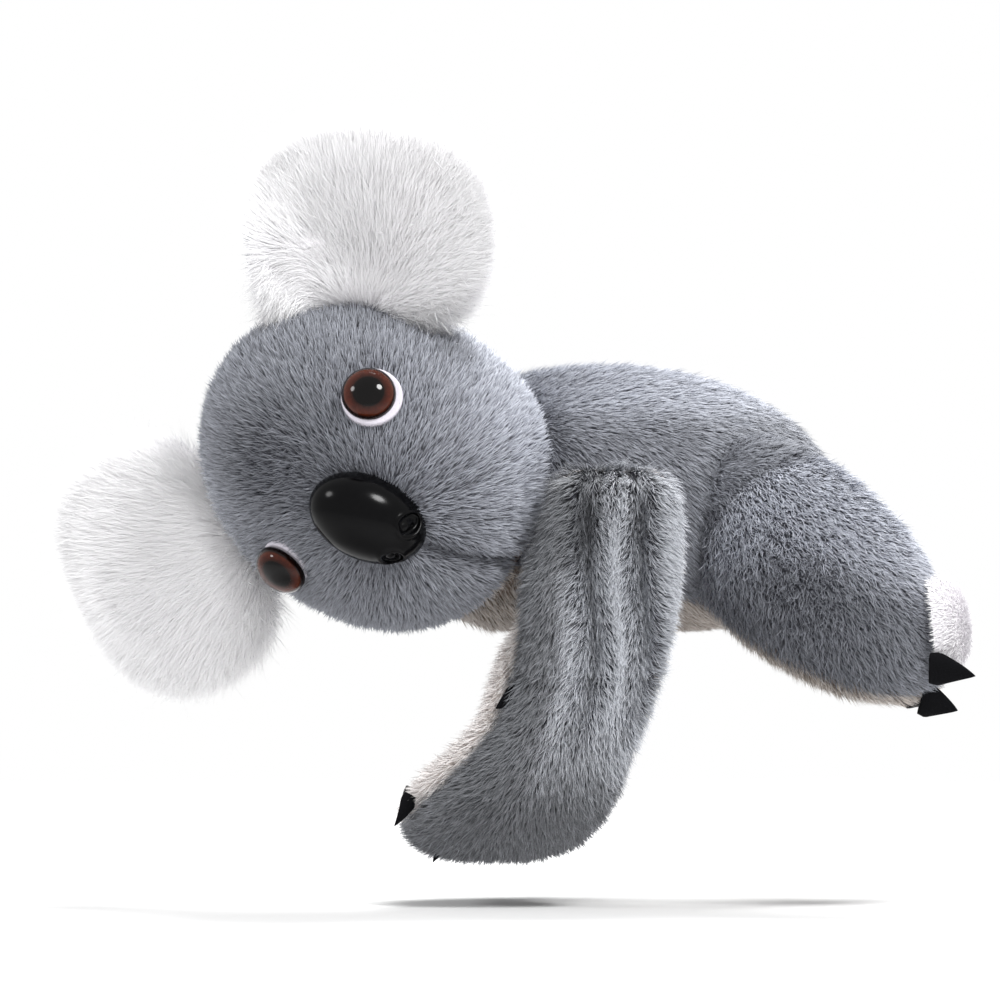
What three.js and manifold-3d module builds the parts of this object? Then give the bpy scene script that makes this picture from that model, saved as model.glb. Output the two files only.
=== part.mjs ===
// Plush koala slap bracelet, curled as it is worn.
// X runs along the opening towards the rump, Y across it, Z up. The origin is the centre of the
// space that the two arms close round. Lengths are millimetres and angles are degrees.

import * as THREE from 'three';
import { mergeVertices } from 'three/addons/utils/BufferGeometryUtils.js';
import Module from 'manifold-3d';

const wasm = await Module();
wasm.setup();

// Opening that the arms close round
const wristWidth = 58;
const wristHeight = 50;

// Cloth
const seamGap = 0.3;
const plushThickness = 2.4;
const liningThickness = 4;

// Body: an egg of stuffed plush, pressed flat underneath and narrower at the neck
const bodyLength = 132;
const shoulderBulge = 9;
const bodyWidth = wristWidth + 2 * shoulderBulge;
const bodyDepth = 80;
const bodyForward = 8;
const neckNarrowing = 0.3;
const bellyPress = 6;
const bellySeamHeight = 15;
const bellySeamTilt = 10;

// Head: measured from brow to back, from ear to ear and from crown to chin
const headDepth = 84;
const headWidth = 87;
const headLength = 102;
const headAhead = 56;
const headAside = 15;
const headHeight = 71.6;
const headTurn = -112.75;
const headNod = 9.6;
const headRoll = 58.4;
const cheekRise = 4;
const upperJawRise = 3.5;
const muzzleCrease = 2.6;
const neckHole = 40;
const throatDepth = 8.6;

// Ears
const earReach = 65;
const rightEarDroop = 6;
const earHeight = 60;
const earWidth = 73;
const earThickness = 16;
const leftEarLift = 27;
const rightEarLift = 34;

// Eyes and nose
const eyeDiameter = 15;
const eyeDome = 5.5;
const eyeSpread = 80;
const eyeRingDiameter = 17;
const eyeRingThickness = 1.2;
const stemDiameter = 3.2;
const stemLength = 11;
const washerDiameter = 13;
const washerThickness = 1.5;
const noseLength = 33.6;
const noseWidth = 23.5;
const noseHeight = 11;
const noseDrop = 17.2;
const nostrilDiameter = 5.4;
const nostrilSpacing = 11;
const nostrilDrop = 10.5;

// Hind legs
const legLength = 94;
const legDepth = 54;
const legWidth = 38;
const hipInset = 8;
const legCentre = { along: 66, aside: bodyWidth / 2 - hipInset, height: 40.5 };
const legSplay = 20.5;
const legDrop = 38;
const footTrim = 2.2;
const footLean = 6;
const footCentre = { aside: legCentre.aside + 12, height: 24 };
const footPadHeight = 36;
const footPadWidth = 29;
const footPadBulge = 9.5;
const legSeamShare = 0.5;

// Arms, each sewn to the body at its shoulder and wrapped round the opening to the middle below
const armThickness = 16;
const shoulderHeight = 69;
const shoulderWidth = 45;
const shoulderShift = 6;
const shoulderSwing = 96;
const foreArmWidth = 40;
const pawWidth = 50;
const pawShift = -25;
const pawGap = 2.4;
const liningOverhang = 5;
const pawOverhang = 1;
const elbowAngle = 12;
const pawAngle = 48;
const channelSpacing = 17;
const channelDepth = 4;

// Slap band: a strip of spring steel sewn into the channel down the middle of each arm
const bandWidth = 15;
const bandThickness = 0.4;
const bandDepth = 6.4;
const bandDrop = 5;
const bandEndGap = 4.5;

// Claws
const pawClawLength = 8.5;
const pawClawWidth = 6.5;
const footClawLength = 7.5;
const footClawWidth = 9.5;
const footClawSeat = 0.4;
const clawFlatness = 0.6;
const clawRoot = 2;

// Materials
const colours = {
  plush: '#8a8d97',
  innerPlush: '#d9d3cf',
  earPile: '#e6e3e6',
  footPile: '#efedf0',
  stuffing: '#f4f2ee',
  felt: '#141416',
  glossBlack: '#0c0c0e',
  amber: '#5a2410',
  ringFelt: '#e9e6ea',
  steel: '#b8bcc2',
  washer: '#c9c9c4',
};

function cloth(colour) {
  return new THREE.MeshStandardMaterial({ color: colour, roughness: 0.95, metalness: 0 });
}

function plastic(colour) {
  return new THREE.MeshStandardMaterial({ color: colour, roughness: 0.12, metalness: 0 });
}

const materials = {
  plush: cloth(colours.plush),
  innerPlush: cloth(colours.innerPlush),
  earPile: cloth(colours.earPile),
  footPile: cloth(colours.footPile),
  stuffing: cloth(colours.stuffing),
  felt: cloth(colours.felt),
  ringFelt: cloth(colours.ringFelt),
  nose: plastic(colours.glossBlack),
  eye: plastic(colours.amber),
  washer: plastic(colours.washer),
  band: new THREE.MeshStandardMaterial({ color: colours.steel, roughness: 0.3, metalness: 1 }),
};

// Solids and meshes
function toSolid(geometry) {
  const bare = geometry.clone();
  bare.deleteAttribute('normal');
  bare.deleteAttribute('uv');
  const merged = mergeVertices(bare, 1e-4);
  return new wasm.Manifold(new wasm.Mesh({
    numProp: 3,
    vertProperties: Float32Array.from(merged.attributes.position.array),
    triVerts: Uint32Array.from(merged.index.array),
  }));
}

function toGeometry(solid) {
  const mesh = solid.getMesh();
  const geometry = new THREE.BufferGeometry();
  geometry.setAttribute('position', new THREE.BufferAttribute(Float32Array.from(mesh.vertProperties), 3));
  geometry.setIndex(Array.from(mesh.triVerts));
  const flat = geometry.toNonIndexed();
  flat.computeVertexNormals();
  return flat;
}

function addPiece(group, name, solid, material) {
  const mesh = new THREE.Mesh(toGeometry(solid), material);
  mesh.name = name;
  group.add(mesh);
  return mesh;
}

function moved(solid, matrix) {
  return solid.transform(matrix.elements);
}

// Keeps what lies beyond a plane that stands offset millimetres out along a unit normal.
function beyond(solid, normal, offset) {
  return solid.trimByPlane(normal.toArray(), offset);
}

function within(solid, normal, offset) {
  return solid.trimByPlane(normal.clone().negate().toArray(), -offset);
}

// A frame whose X axis points along a direction, with its origin at a point.
function facing(direction, origin) {
  const turn = new THREE.Quaternion().setFromUnitVectors(new THREE.Vector3(1, 0, 0), direction);
  return new THREE.Matrix4().compose(origin, turn, new THREE.Vector3(1, 1, 1));
}

function radians(degrees) {
  return THREE.MathUtils.degToRad(degrees);
}

// A round turned piece: a profile of [radius, along] pairs revolved about the X axis.
function turned(profile, sides) {
  const points = profile.map(([radius, along]) => new THREE.Vector2(radius, along));
  const geometry = new THREE.LatheGeometry(points, sides);
  geometry.rotateZ(-Math.PI / 2);
  return toSolid(geometry);
}

function rod(radius, from, to, sides = 16) {
  return turned([[0, from], [radius, from], [radius, to], [0, to]], sides);
}

// A stuffed ball with its poles on X. halfSizes are its half length, width and height; bluntness
// under 1 fattens its ends; taper thins it towards +X; neck narrows it sideways towards -X;
// squareness over 2 fills out its corners; press(direction) gives how far the cloth stands out
// there. A positive inset gives the same form that much smaller all round.
function stuffedBall(form, inset, sides, rows) {
  const { halfSizes, bluntness = 1, taper = 0, neck = 0, squareness = 2 } = form;
  const { press = () => 0 } = form;
  const geometry = new THREE.SphereGeometry(1, sides, rows);
  geometry.rotateZ(Math.PI / 2);
  const position = geometry.attributes.position;
  const direction = new THREE.Vector3();
  for (let i = 0; i < position.count; i += 1) {
    direction.fromBufferAttribute(position, i);
    const ring = Math.hypot(direction.y, direction.z);
    const fullness = ring > 1e-6 ? Math.pow(ring, bluntness - 1) * (1 - taper * direction.x) : 0;
    const sideways = 1 - neck * THREE.MathUtils.smoothstep(-direction.x, 0.15, 0.5);
    const stand = press(direction) - inset;
    const [y, z] = ring > 1e-6 ? [direction.y / ring, direction.z / ring].map(Math.abs) : [1, 0];
    const corner = Math.pow(Math.pow(y, squareness) + Math.pow(z, squareness), -1 / squareness);
    position.setXYZ(
      i,
      direction.x * (halfSizes.x + stand),
      direction.y * corner * (halfSizes.y * fullness * sideways + stand),
      direction.z * corner * (halfSizes.z * fullness + stand),
    );
  }
  return toSolid(geometry);
}

const fine = { sides: 28, rows: 18 };
const coarse = { sides: 16, rows: 10 };

// Body form
const bellyHeight = wristHeight / 2;
const bodyCentre = new THREE.Vector3(bodyForward, 0, bellyHeight + bodyDepth / 2 - bellyPress);
const up = new THREE.Vector3(0, 0, 1);

function bodyForm(inset, detail) {
  const halfSizes = new THREE.Vector3(bodyLength / 2, bodyWidth / 2, bodyDepth / 2);
  const egg = stuffedBall({ halfSizes, neck: neckNarrowing }, inset, detail.sides, detail.rows);
  const placed = egg.translate(bodyCentre.toArray());
  return beyond(placed, up, bellyHeight + inset);
}

// Head form, in the head's own frame: X out of the face, Y to the left ear, Z to the crown
const headPlace = new THREE.Matrix4().compose(
  new THREE.Vector3(-headAhead, -headAside, headHeight),
  new THREE.Quaternion().setFromEuler(
    new THREE.Euler(radians(headRoll), radians(headNod), radians(headTurn), 'ZYX'),
  ),
  new THREE.Vector3(1, 1, 1),
);
const headHalfSizes = new THREE.Vector3(headDepth / 2, headWidth / 2, headLength / 2);

function headPress(direction) {
  const cheek = new THREE.Vector3(0.62, direction.y < 0 ? -0.5 : 0.5, -0.6).normalize();
  const upperJaw = new THREE.Vector3(0, 0.75, -0.65).normalize();
  const cheekSwell = cheekRise * Math.exp(-Math.pow(direction.angleTo(cheek) / 0.45, 2))
    + upperJawRise * Math.exp(-Math.pow(direction.angleTo(upperJaw) / 0.55, 2));
  const below = THREE.MathUtils.smoothstep(-direction.z, 0.45, 0.75);
  const front = THREE.MathUtils.smoothstep(direction.x, -0.2, 0.3);
  const crease = muzzleCrease * below * front * Math.exp(-Math.pow(direction.y / 0.08, 2));
  return cheekSwell - crease;
}

function headForm(inset, detail) {
  const form = { halfSizes: headHalfSizes, press: headPress };
  return stuffedBall(form, inset, detail.sides, detail.rows);
}

// Distance from the head's centre to its cloth along a unit direction.
function headRadius(direction) {
  const scaled = direction.clone().divide(headHalfSizes);
  return 1 / scaled.length();
}

function shell(form) {
  return form(0, fine).subtract(form(plushThickness, coarse));
}

// Body: grey back, cream belly panel sewn to it along a tilted seam, and the stuffing inside
const bellySeam = new THREE.Vector3(Math.sin(radians(bellySeamTilt)), 0, Math.cos(radians(bellySeamTilt)));
const bellySeamOffset = (bellyHeight + bellySeamHeight) * bellySeam.z;
const bandHeight = shoulderHeight - bandDrop;

function block(sizeX, sizeY, sizeZ, centre) {
  const geometry = new THREE.BoxGeometry(sizeX, sizeY, sizeZ);
  geometry.translate(centre.x, centre.y, centre.z);
  return toSolid(geometry);
}

function makeBody() {
  const group = new THREE.Group();
  const headCut = moved(headForm(-seamGap, fine), headPlace);
  const bandCentre = new THREE.Vector3(shoulderShift, 0, bandHeight);
  const slot = block(bandWidth + 2 * seamGap, bodyWidth, bandThickness + 2 * seamGap, bandCentre);
  const skin = shell(bodyForm).subtract(headCut);
  const stuffing = bodyForm(plushThickness + seamGap, coarse).subtract(headCut).subtract(slot);
  const bandLength = bodyWidth - 2 * (plushThickness + bandEndGap);
  const band = block(bandWidth, bandLength, bandThickness, bandCentre);
  addPiece(group, 'body_back', beyond(skin, bellySeam, bellySeamOffset + seamGap / 2), materials.plush);
  addPiece(group, 'belly_panel', within(skin, bellySeam, bellySeamOffset - seamGap / 2), materials.innerPlush);
  addPiece(group, 'body_stuffing', stuffing, materials.stuffing);
  addPiece(group, 'slap_band_centre', band, materials.band);
  return group;
}

// Safety eye: a domed amber front with its stem pushed through the cloth into a lock washer
const left = 1;
const right = -1;

function eyeDirection(side) {
  const half = radians(eyeSpread / 2);
  return new THREE.Vector3(Math.cos(half), side * Math.sin(half), 0);
}

function washerPocket(frame) {
  return moved(rod(washerDiameter / 2 + seamGap, -stemLength - seamGap, 0), frame);
}

function stemHole(frame) {
  return moved(rod(stemDiameter / 2 + seamGap, -stemLength, noseHeight), frame);
}

function lockWasher() {
  const inner = stemDiameter / 2 + seamGap;
  const outer = washerDiameter / 2;
  const hollowBehindCloth = (outer * outer) / headWidth + 2 * seamGap;
  const front = -plushThickness - seamGap - hollowBehindCloth;
  const back = front - washerThickness;
  const profile = [[inner, back], [outer, back], [outer, front], [inner, front], [inner, back]];
  return turned(profile, 16);
}

function eyeFrame(side) {
  const direction = eyeDirection(side);
  return facing(direction, direction.clone().multiplyScalar(headRadius(direction)));
}

function makeEye(group, name, side) {
  const frame = eyeFrame(side);
  const stem = stemDiameter / 2;
  const seat = eyeRingThickness + seamGap;
  const radius = eyeDiameter / 2;
  const profile = [[0, -stemLength], [stem, -stemLength], [stem, seat], [radius, seat], [radius, seat + 1]];
  for (let step = 1; step <= 5; step += 1) {
    const angle = (step / 5) * (Math.PI / 2);
    profile.push([radius * Math.cos(angle), seat + 1 + (eyeDome - 1) * Math.sin(angle)]);
  }
  profile[profile.length - 1][0] = 0;
  const ringHole = rod(stem + seamGap, -stemLength, noseHeight);
  const ring = rod(eyeRingDiameter / 2, -3, eyeRingThickness, 20).subtract(ringHole);
  const seated = moved(ring, frame).subtract(headForm(-seamGap, fine));
  addPiece(group, name, moved(turned(profile, 20), frame), materials.eye);
  addPiece(group, `${name}_ring`, seated, materials.ringFelt);
  addPiece(group, `${name}_washer`, moved(lockWasher(), frame), materials.washer);
}

// Nose: a gloss black oval that follows the cloth behind it, with two nostrils at its chin end
function noseFrame() {
  const reach = noseDrop / headHalfSizes.z;
  const direction = new THREE.Vector3(headHalfSizes.x * Math.sqrt(1 - reach * reach), 0, -noseDrop);
  return facing(direction.normalize(), direction.clone().multiplyScalar(headRadius(direction)));
}

function makeNose(group) {
  const frame = noseFrame();
  const halfSizes = new THREE.Vector3(noseHeight, noseWidth / 2, noseLength / 2);
  const dome = stuffedBall({ halfSizes }, 0, 20, 12);
  const across = nostrilSpacing / noseWidth;
  const down = nostrilDrop / halfSizes.z;
  const depth = noseHeight * Math.sqrt(1 - across * across - down * down);
  const pit = new THREE.SphereGeometry(nostrilDiameter / 2, 12, 8);
  let oval = dome;
  for (const side of [left, right]) {
    const hollow = toSolid(pit).translate([depth + 1, (side * nostrilSpacing) / 2, -nostrilDrop]);
    oval = oval.subtract(hollow);
  }
  const stem = moved(rod(stemDiameter / 2, -stemLength, noseHeight / 2), frame);
  const nose = moved(oval, frame).subtract(headForm(-seamGap, fine)).add(stem);
  addPiece(group, 'nose', nose, materials.nose);
  addPiece(group, 'nose_washer', moved(lockWasher(), frame), materials.washer);
}

// Ears: a long white pile front and a grey back, sewn together round the rim
function makeEar(group, name, side, lift) {
  const halfSizes = new THREE.Vector3(earThickness / 2, earHeight / 2, earWidth / 2);
  const angle = side === left ? radians(lift) : Math.PI - radians(lift);
  const place = new THREE.Matrix4().makeRotationX(angle);
  const reach = earReach + (side === right ? rightEarDroop : 0);
  place.setPosition(0, reach * Math.cos(angle), reach * Math.sin(angle));
  const form = { halfSizes, bluntness: 0.75, squareness: 2.6 };
  const disc = moved(stuffedBall(form, 0, 22, 8), place).subtract(headForm(-seamGap, fine));
  const faceSeam = new THREE.Vector3(1, 0, 0);
  const seamAt = -earThickness / 8;
  addPiece(group, `${name}_front`, beyond(disc, faceSeam, seamAt + seamGap / 2), materials.earPile);
  addPiece(group, `${name}_back`, within(disc, faceSeam, seamAt - seamGap / 2), materials.plush);
}

// Head: grey cover, cream throat patch below the chin, stuffing, face and ears
function makeHead() {
  const group = new THREE.Group();
  const toHead = headPlace.clone().invert();
  const neckDirection = bodyCentre.clone().applyMatrix4(toHead).normalize();
  const neck = moved(rod(neckHole / 2, 0, headLength, 20), facing(neckDirection, new THREE.Vector3()));
  const frames = [eyeFrame(left), eyeFrame(right), noseFrame()];
  let cover = shell(headForm).subtract(neck);
  let stuffing = headForm(plushThickness + seamGap, coarse);
  for (const frame of frames) {
    cover = cover.subtract(stemHole(frame));
    stuffing = stuffing.subtract(washerPocket(frame));
  }
  const throat = new THREE.Vector3(-0.55, -0.2, -0.81).normalize();
  const throatPlane = headRadius(throat) - throatDepth;
  addPiece(group, 'head_cover', within(cover, throat, throatPlane - seamGap / 2), materials.plush);
  addPiece(group, 'throat_patch', beyond(cover, throat, throatPlane + seamGap / 2), materials.innerPlush);
  addPiece(group, 'head_stuffing', stuffing, materials.stuffing);
  makeEye(group, 'left_eye', left);
  makeEye(group, 'right_eye', right);
  makeNose(group);
  makeEar(group, 'left_ear', left, leftEarLift);
  makeEar(group, 'right_ear', right, rightEarLift);
  group.applyMatrix4(headPlace);
  return group;
}

// Claw: a flattened black felt point along X, its broad faces up and down
function clawSolid(length, width) {
  const half = width / 2;
  const profile = [[0, -clawRoot], [half * 0.8, -clawRoot], [half, 0]];
  profile.push([half * 0.75, length * 0.35], [half * 0.3, length * 0.8], [0, length]);
  return turned(profile, 8).scale([1, 1, clawFlatness]);
}

// Hind leg, built on the left side: X down the leg to the foot, in the leg's own frame
const legAxis = new THREE.Vector3(
  Math.cos(radians(legDrop)) * Math.cos(radians(legSplay)),
  -Math.cos(radians(legDrop)) * Math.sin(radians(legSplay)),
  -Math.sin(radians(legDrop)),
);
const legPlace = new THREE.Matrix4().makeBasis(
  legAxis,
  new THREE.Vector3().crossVectors(up, legAxis).normalize(),
  new THREE.Vector3().crossVectors(legAxis, new THREE.Vector3().crossVectors(up, legAxis)).normalize(),
).setPosition(legCentre.along, -legCentre.aside, legCentre.height);
const footPlane = legCentre.along + (legLength / 2) * legAxis.x - footTrim;
const soleNormal = new THREE.Vector3(Math.cos(radians(footLean)), 0, Math.sin(radians(footLean)));
const solePoint = new THREE.Vector3(footPlane, -footCentre.aside, footCentre.height);
const soleOffset = solePoint.dot(soleNormal);

function legForm(inset, detail) {
  const halfSizes = new THREE.Vector3(legLength / 2, legWidth / 2, legDepth / 2);
  const form = { halfSizes, bluntness: 0.8, taper: 0.12 };
  const whole = moved(stuffedBall(form, inset, detail.sides, detail.rows), legPlace);
  return within(whole, soleNormal, soleOffset - inset);
}

function soleFrame() {
  return facing(soleNormal, solePoint);
}

function makeLeg(side, name) {
  const group = new THREE.Group();
  const detail = { sides: 20, rows: 12 };
  const inner = { sides: 12, rows: 8 };
  const turn = side === left ? (solid) => solid : (solid) => solid.mirror([0, 1, 0]);
  const bodyCut = bodyForm(-seamGap, fine);
  const skin = legForm(0, detail).subtract(legForm(plushThickness, inner)).subtract(bodyCut);
  const stuffing = legForm(plushThickness + seamGap, inner).subtract(bodyCut);
  const seamNormal = new THREE.Vector3(0, 0.75, -0.66).normalize();
  const seamOffset = seamNormal.dot(new THREE.Vector3().setFromMatrixPosition(legPlace))
    + legSeamShare * (legWidth / 2);
  addPiece(group, `${name}_outer`, turn(within(skin, seamNormal, seamOffset - seamGap / 2)), materials.plush);
  addPiece(group, `${name}_inner`, turn(beyond(skin, seamNormal, seamOffset + seamGap / 2)), materials.innerPlush);
  addPiece(group, `${name}_stuffing`, turn(stuffing), materials.stuffing);

  const padSizes = new THREE.Vector3(footPadBulge, footPadWidth / 2, footPadHeight / 2);
  const pad = moved(stuffedBall({ halfSizes: padSizes, bluntness: 0.8 }, 0, 20, 10), soleFrame());
  const seatedPad = beyond(pad, soleNormal, soleOffset + seamGap);
  let padWithNotches = seatedPad;
  for (const [index, angle] of [-60, 0, 60].entries()) {
    const radial = new THREE.Vector3(0, -Math.sin(radians(angle)), -Math.cos(radians(angle)));
    const base = new THREE.Vector3(
      footClawSeat + footClawWidth * clawFlatness * 0.5,
      radial.y * (footPadWidth / 2 - 1),
      radial.z * (footPadHeight / 2 - 1),
    );
    const point = new THREE.Vector3(0.85, radial.y * 0.5, radial.z * 0.5).normalize();
    const place = soleFrame().multiply(facing(point, base));
    const claw = beyond(moved(clawSolid(footClawLength, footClawWidth), place), soleNormal, soleOffset + seamGap);
    const notch = moved(clawSolid(footClawLength + seamGap, footClawWidth + 2 * seamGap), place);
    padWithNotches = padWithNotches.subtract(notch);
    addPiece(group, `${name}_claw_${index + 1}`, turn(claw), materials.felt);
  }
  addPiece(group, `${name}_foot_pad`, turn(padWithNotches), materials.footPile);
  return group;
}

// Route of the palm side of the left arm, in the YZ plane. From 0 to 1 it drops from the
// shoulder to the side of the opening, and from 1 to 2 it follows the opening's oval below.
const shoulderSide = bodyWidth / 2 + seamGap;
const dropCurve = new THREE.CubicBezierCurve(
  new THREE.Vector2(-shoulderSide, shoulderHeight - seamGap),
  new THREE.Vector2(-shoulderSide, shoulderHeight - 0.37 * shoulderHeight),
  new THREE.Vector2(-wristWidth / 2, wristHeight / 2),
  new THREE.Vector2(-wristWidth / 2, 0),
);
const tipAngle = 90 - THREE.MathUtils.radToDeg(Math.asin(pawGap / wristWidth));

function routePoint(t) {
  if (t <= 1) {
    return dropCurve.getPoint(t);
  }
  const angle = radians(tipAngle * (t - 1));
  return new THREE.Vector2((-wristWidth / 2) * Math.cos(angle), (-wristHeight / 2) * Math.sin(angle));
}

function armFrame(t) {
  const before = routePoint(Math.max(t - 0.01, 0));
  const after = routePoint(Math.min(t + 0.01, 2));
  const along = after.sub(before).normalize();
  const smooth = THREE.MathUtils.smoothstep;
  const root = Math.min(t / 0.16, 1);
  const tip = Math.max((t - 1.74) / 0.26, 0);
  const rootFullness = 0.4 + 0.6 * Math.sqrt(1 - (1 - root) * (1 - root));
  const tipFullness = 0.5 + 0.5 * Math.sqrt(1 - tip * tip);
  const narrowed = shoulderWidth + (foreArmWidth - shoulderWidth) * smooth(t, 0.3, 0.7);
  const spread = narrowed + (pawWidth - foreArmWidth) * smooth(t, 1, 1.6);
  return {
    point: routePoint(t),
    along,
    out: new THREE.Vector2(along.y, -along.x),
    shift: shoulderShift + (pawShift - shoulderShift) * smooth(t, 0.5, 2.1),
    overhang: (liningOverhang + 1) * smooth(t, 0.5, 0.8) - 1 + (pawOverhang - liningOverhang) * smooth(t, 1.4, 1.8),
    halfWidth: (spread / 2) * tipFullness * (0.45 + 0.55 * rootFullness),
    thickness: armThickness * rootFullness * (0.3 + 0.7 * tipFullness),
    channel: channelDepth * smooth(t, 0.04, 0.2) * (1 - 0.8 * smooth(t, 0.95, 1.6)),
  };
}

// Skins equal outlines of [across, out] pairs, set at the arm's stations, into one closed solid.
function armLoft(outline, stations) {
  const positions = [];
  const rings = stations.map((t) => {
    const frame = armFrame(t);
    return outline(frame).map(([across, out]) => [
      frame.shift + across,
      frame.point.x + frame.out.x * out,
      frame.point.y + frame.out.y * out,
    ]);
  });
  const count = rings[0].length;
  const quad = (a, b, c, d) => positions.push(...a, ...b, ...c, ...a, ...c, ...d);
  for (let row = 0; row + 1 < rings.length; row += 1) {
    for (let i = 0; i < count; i += 1) {
      const next = (i + 1) % count;
      quad(rings[row][i], rings[row][next], rings[row + 1][next], rings[row + 1][i]);
    }
  }
  for (const [ring, flip] of [[rings[0], false], [rings[rings.length - 1], true]]) {
    const middle = [0, 1, 2].map((axis) => ring.reduce((sum, p) => sum + p[axis], 0) / count);
    for (let i = 0; i < count; i += 1) {
      const pair = [ring[i], ring[(i + 1) % count]];
      const [a, b] = flip ? pair : pair.reverse();
      positions.push(...middle, ...a, ...b);
    }
  }
  const geometry = new THREE.BufferGeometry();
  geometry.setAttribute('position', new THREE.Float32BufferAttribute(positions, 3));
  return toSolid(geometry);
}

function armStations(from, to, count) {
  const stations = [];
  for (let i = 0; i <= count; i += 1) {
    stations.push(from + (to - from) * (0.5 - 0.5 * Math.cos((Math.PI * i) / count)));
  }
  return stations;
}

// The plush cover stands on the lining; two lines of stitching draw it in beside the band.
function coverOutline(grow) {
  return (frame) => {
    const half = frame.halfWidth;
    const stitch = Math.min(channelSpacing / 2, half * 0.6);
    const outer = [1, 0.93, 0.78].map((share) => half * share);
    const across = [...outer, stitch + 3.2, stitch, stitch - 3.2, 0];
    const low = Math.min(liningThickness + seamGap, frame.thickness * 0.5);
    const height = (w) => {
      const crown = Math.pow(1 - Math.pow(Math.min(w / half, 1), 2.6), 1 / 2.6);
      const valley = frame.channel * Math.exp(-Math.pow((w - stitch) / 2.4, 2));
      return low + 1 + (frame.thickness - low - 1) * crown - valley + grow;
    };
    const rightSide = across.map((w) => [w + (w === half ? grow : 0), height(w)]);
    const leftSide = rightSide.slice(0, -1).reverse().map(([w, out]) => [-w, out]);
    return [[half + grow, low - grow], ...rightSide, ...leftSide, [-half - grow, low - grow]];
  };
}

function liningOutline(grow) {
  return (frame) => {
    const depth = Math.min(liningThickness, frame.thickness * 0.5 - seamGap);
    const round = depth * 0.3;
    const headEdge = -frame.halfWidth - frame.overhang - grow;
    const rumpEdge = frame.halfWidth - 1 + grow;
    const low = -grow;
    const high = depth + grow;
    return [
      [rumpEdge - round, low], [rumpEdge, low + round], [rumpEdge, high - round], [rumpEdge - round, high],
      [headEdge + round, high], [headEdge, high - round], [headEdge, low + round], [headEdge + round, low],
    ];
  };
}

function bandOutline(width, thickness) {
  return () => {
    const low = bandDepth - thickness / 2;
    const high = bandDepth + thickness / 2;
    return [[width / 2, low], [width / 2, high], [-width / 2, high], [-width / 2, low]];
  };
}

// The arm's three lengths part at planes through the palm side's elbow and paw folds.
const foldStations = [elbowAngle, pawAngle].map((angle) => 1 + angle / tipAngle);

function foldPlane(t) {
  const frame = armFrame(t);
  const normal = new THREE.Vector3(0, frame.along.x, frame.along.y);
  return { normal, offset: frame.along.dot(frame.point) };
}

function splitArm(solid) {
  const [elbow, paw] = foldStations.map(foldPlane);
  const half = seamGap / 2;
  return {
    upper: within(solid, elbow.normal, elbow.offset - half),
    lower: within(beyond(solid, elbow.normal, elbow.offset + half), paw.normal, paw.offset - half),
    paw: beyond(solid, paw.normal, paw.offset + half),
  };
}

// Where each paw claw is sewn: its station, how far across the half width, its height, its aim
const pawClaws = [
  { part: 'upper', t: 0.9, across: -0.93, out: 7.2, aim: [-1, -0.12, 0.1] },
  { part: 'paw', t: 1.7, across: -0.95, out: 7.6, aim: [-0.75, -0.1, -0.6] },
  { part: 'paw', t: 1.9, across: -0.7, out: 12, aim: [-0.3, 0.1, -1] },
];

// All the places that the head takes, as seen from an upper arm that swings outward.
function headSweep(side) {
  const headCut = moved(headForm(-seamGap, fine), headPlace);
  const axis = new THREE.Vector3(0, -side * shoulderSide, shoulderHeight);
  let sweep = headCut;
  for (let step = 1; step <= 6; step += 1) {
    const swing = new THREE.Matrix4().makeTranslation(axis)
      .multiply(new THREE.Matrix4().makeRotationX(side * radians((shoulderSwing * step) / 6)))
      .multiply(new THREE.Matrix4().makeTranslation(axis.clone().negate()));
    sweep = sweep.add(moved(headCut, swing));
  }
  return sweep;
}

function makeArm(side, name) {
  const group = new THREE.Group();
  const turn = side === left ? (solid) => solid : (solid) => solid.mirror([0, 1, 0]);
  const bodyCut = bodyForm(-seamGap, fine);
  const headCut = moved(headForm(-seamGap, fine), headPlace);
  const cuts = { upper: headSweep(side), lower: headCut, paw: headCut };
  const stations = armStations(0, 2, 20);
  const bandStations = armStations(0.12, 1.88, 16);
  const tunnelOutline = bandOutline(bandWidth + 2 * seamGap, bandThickness + 2 * seamGap);
  const tunnel = armLoft(tunnelOutline, [0, ...bandStations, 1.9]);
  const cover = armLoft(coverOutline(0), stations).subtract(bodyCut);
  const lining = armLoft(liningOutline(0), stations).subtract(bodyCut);
  const band = armLoft(bandOutline(bandWidth, bandThickness), bandStations);
  const clawCut = armLoft(coverOutline(seamGap), stations).add(armLoft(liningOutline(seamGap), stations));
  const layers = [
    ['cover', splitArm(cover.subtract(tunnel)), materials.plush],
    ['lining', splitArm(lining), materials.innerPlush],
    ['band', splitArm(band), materials.band],
  ];
  for (const [layer, parts, material] of layers) {
    for (const part of ['upper', 'lower', 'paw']) {
      addPiece(group, `${name}_${part}_${layer}`, turn(parts[part]).subtract(cuts[part]), material);
    }
  }
  for (const [index, claw] of pawClaws.entries()) {
    const frame = armFrame(claw.t);
    const base = new THREE.Vector3(
      frame.shift + claw.across * frame.halfWidth,
      frame.point.x + frame.out.x * claw.out,
      frame.point.y + frame.out.y * claw.out,
    );
    const place = facing(new THREE.Vector3(...claw.aim).normalize(), base);
    const solid = moved(clawSolid(pawClawLength, pawClawWidth), place).subtract(clawCut);
    addPiece(group, `${name}_claw_${index + 1}`, turn(solid), materials.felt);
  }
  return group;
}

const bracelet = new THREE.Group();
bracelet.add(makeBody());
bracelet.add(makeHead());
bracelet.add(makeLeg(left, 'left_leg'));
bracelet.add(makeLeg(right, 'right_leg'));
bracelet.add(makeArm(left, 'left_arm'));
bracelet.add(makeArm(right, 'right_arm'));

export default bracelet;
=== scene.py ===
import math
import bmesh
import bpy
import numpy as np
from mathutils import Euler, Matrix, Vector


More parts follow.
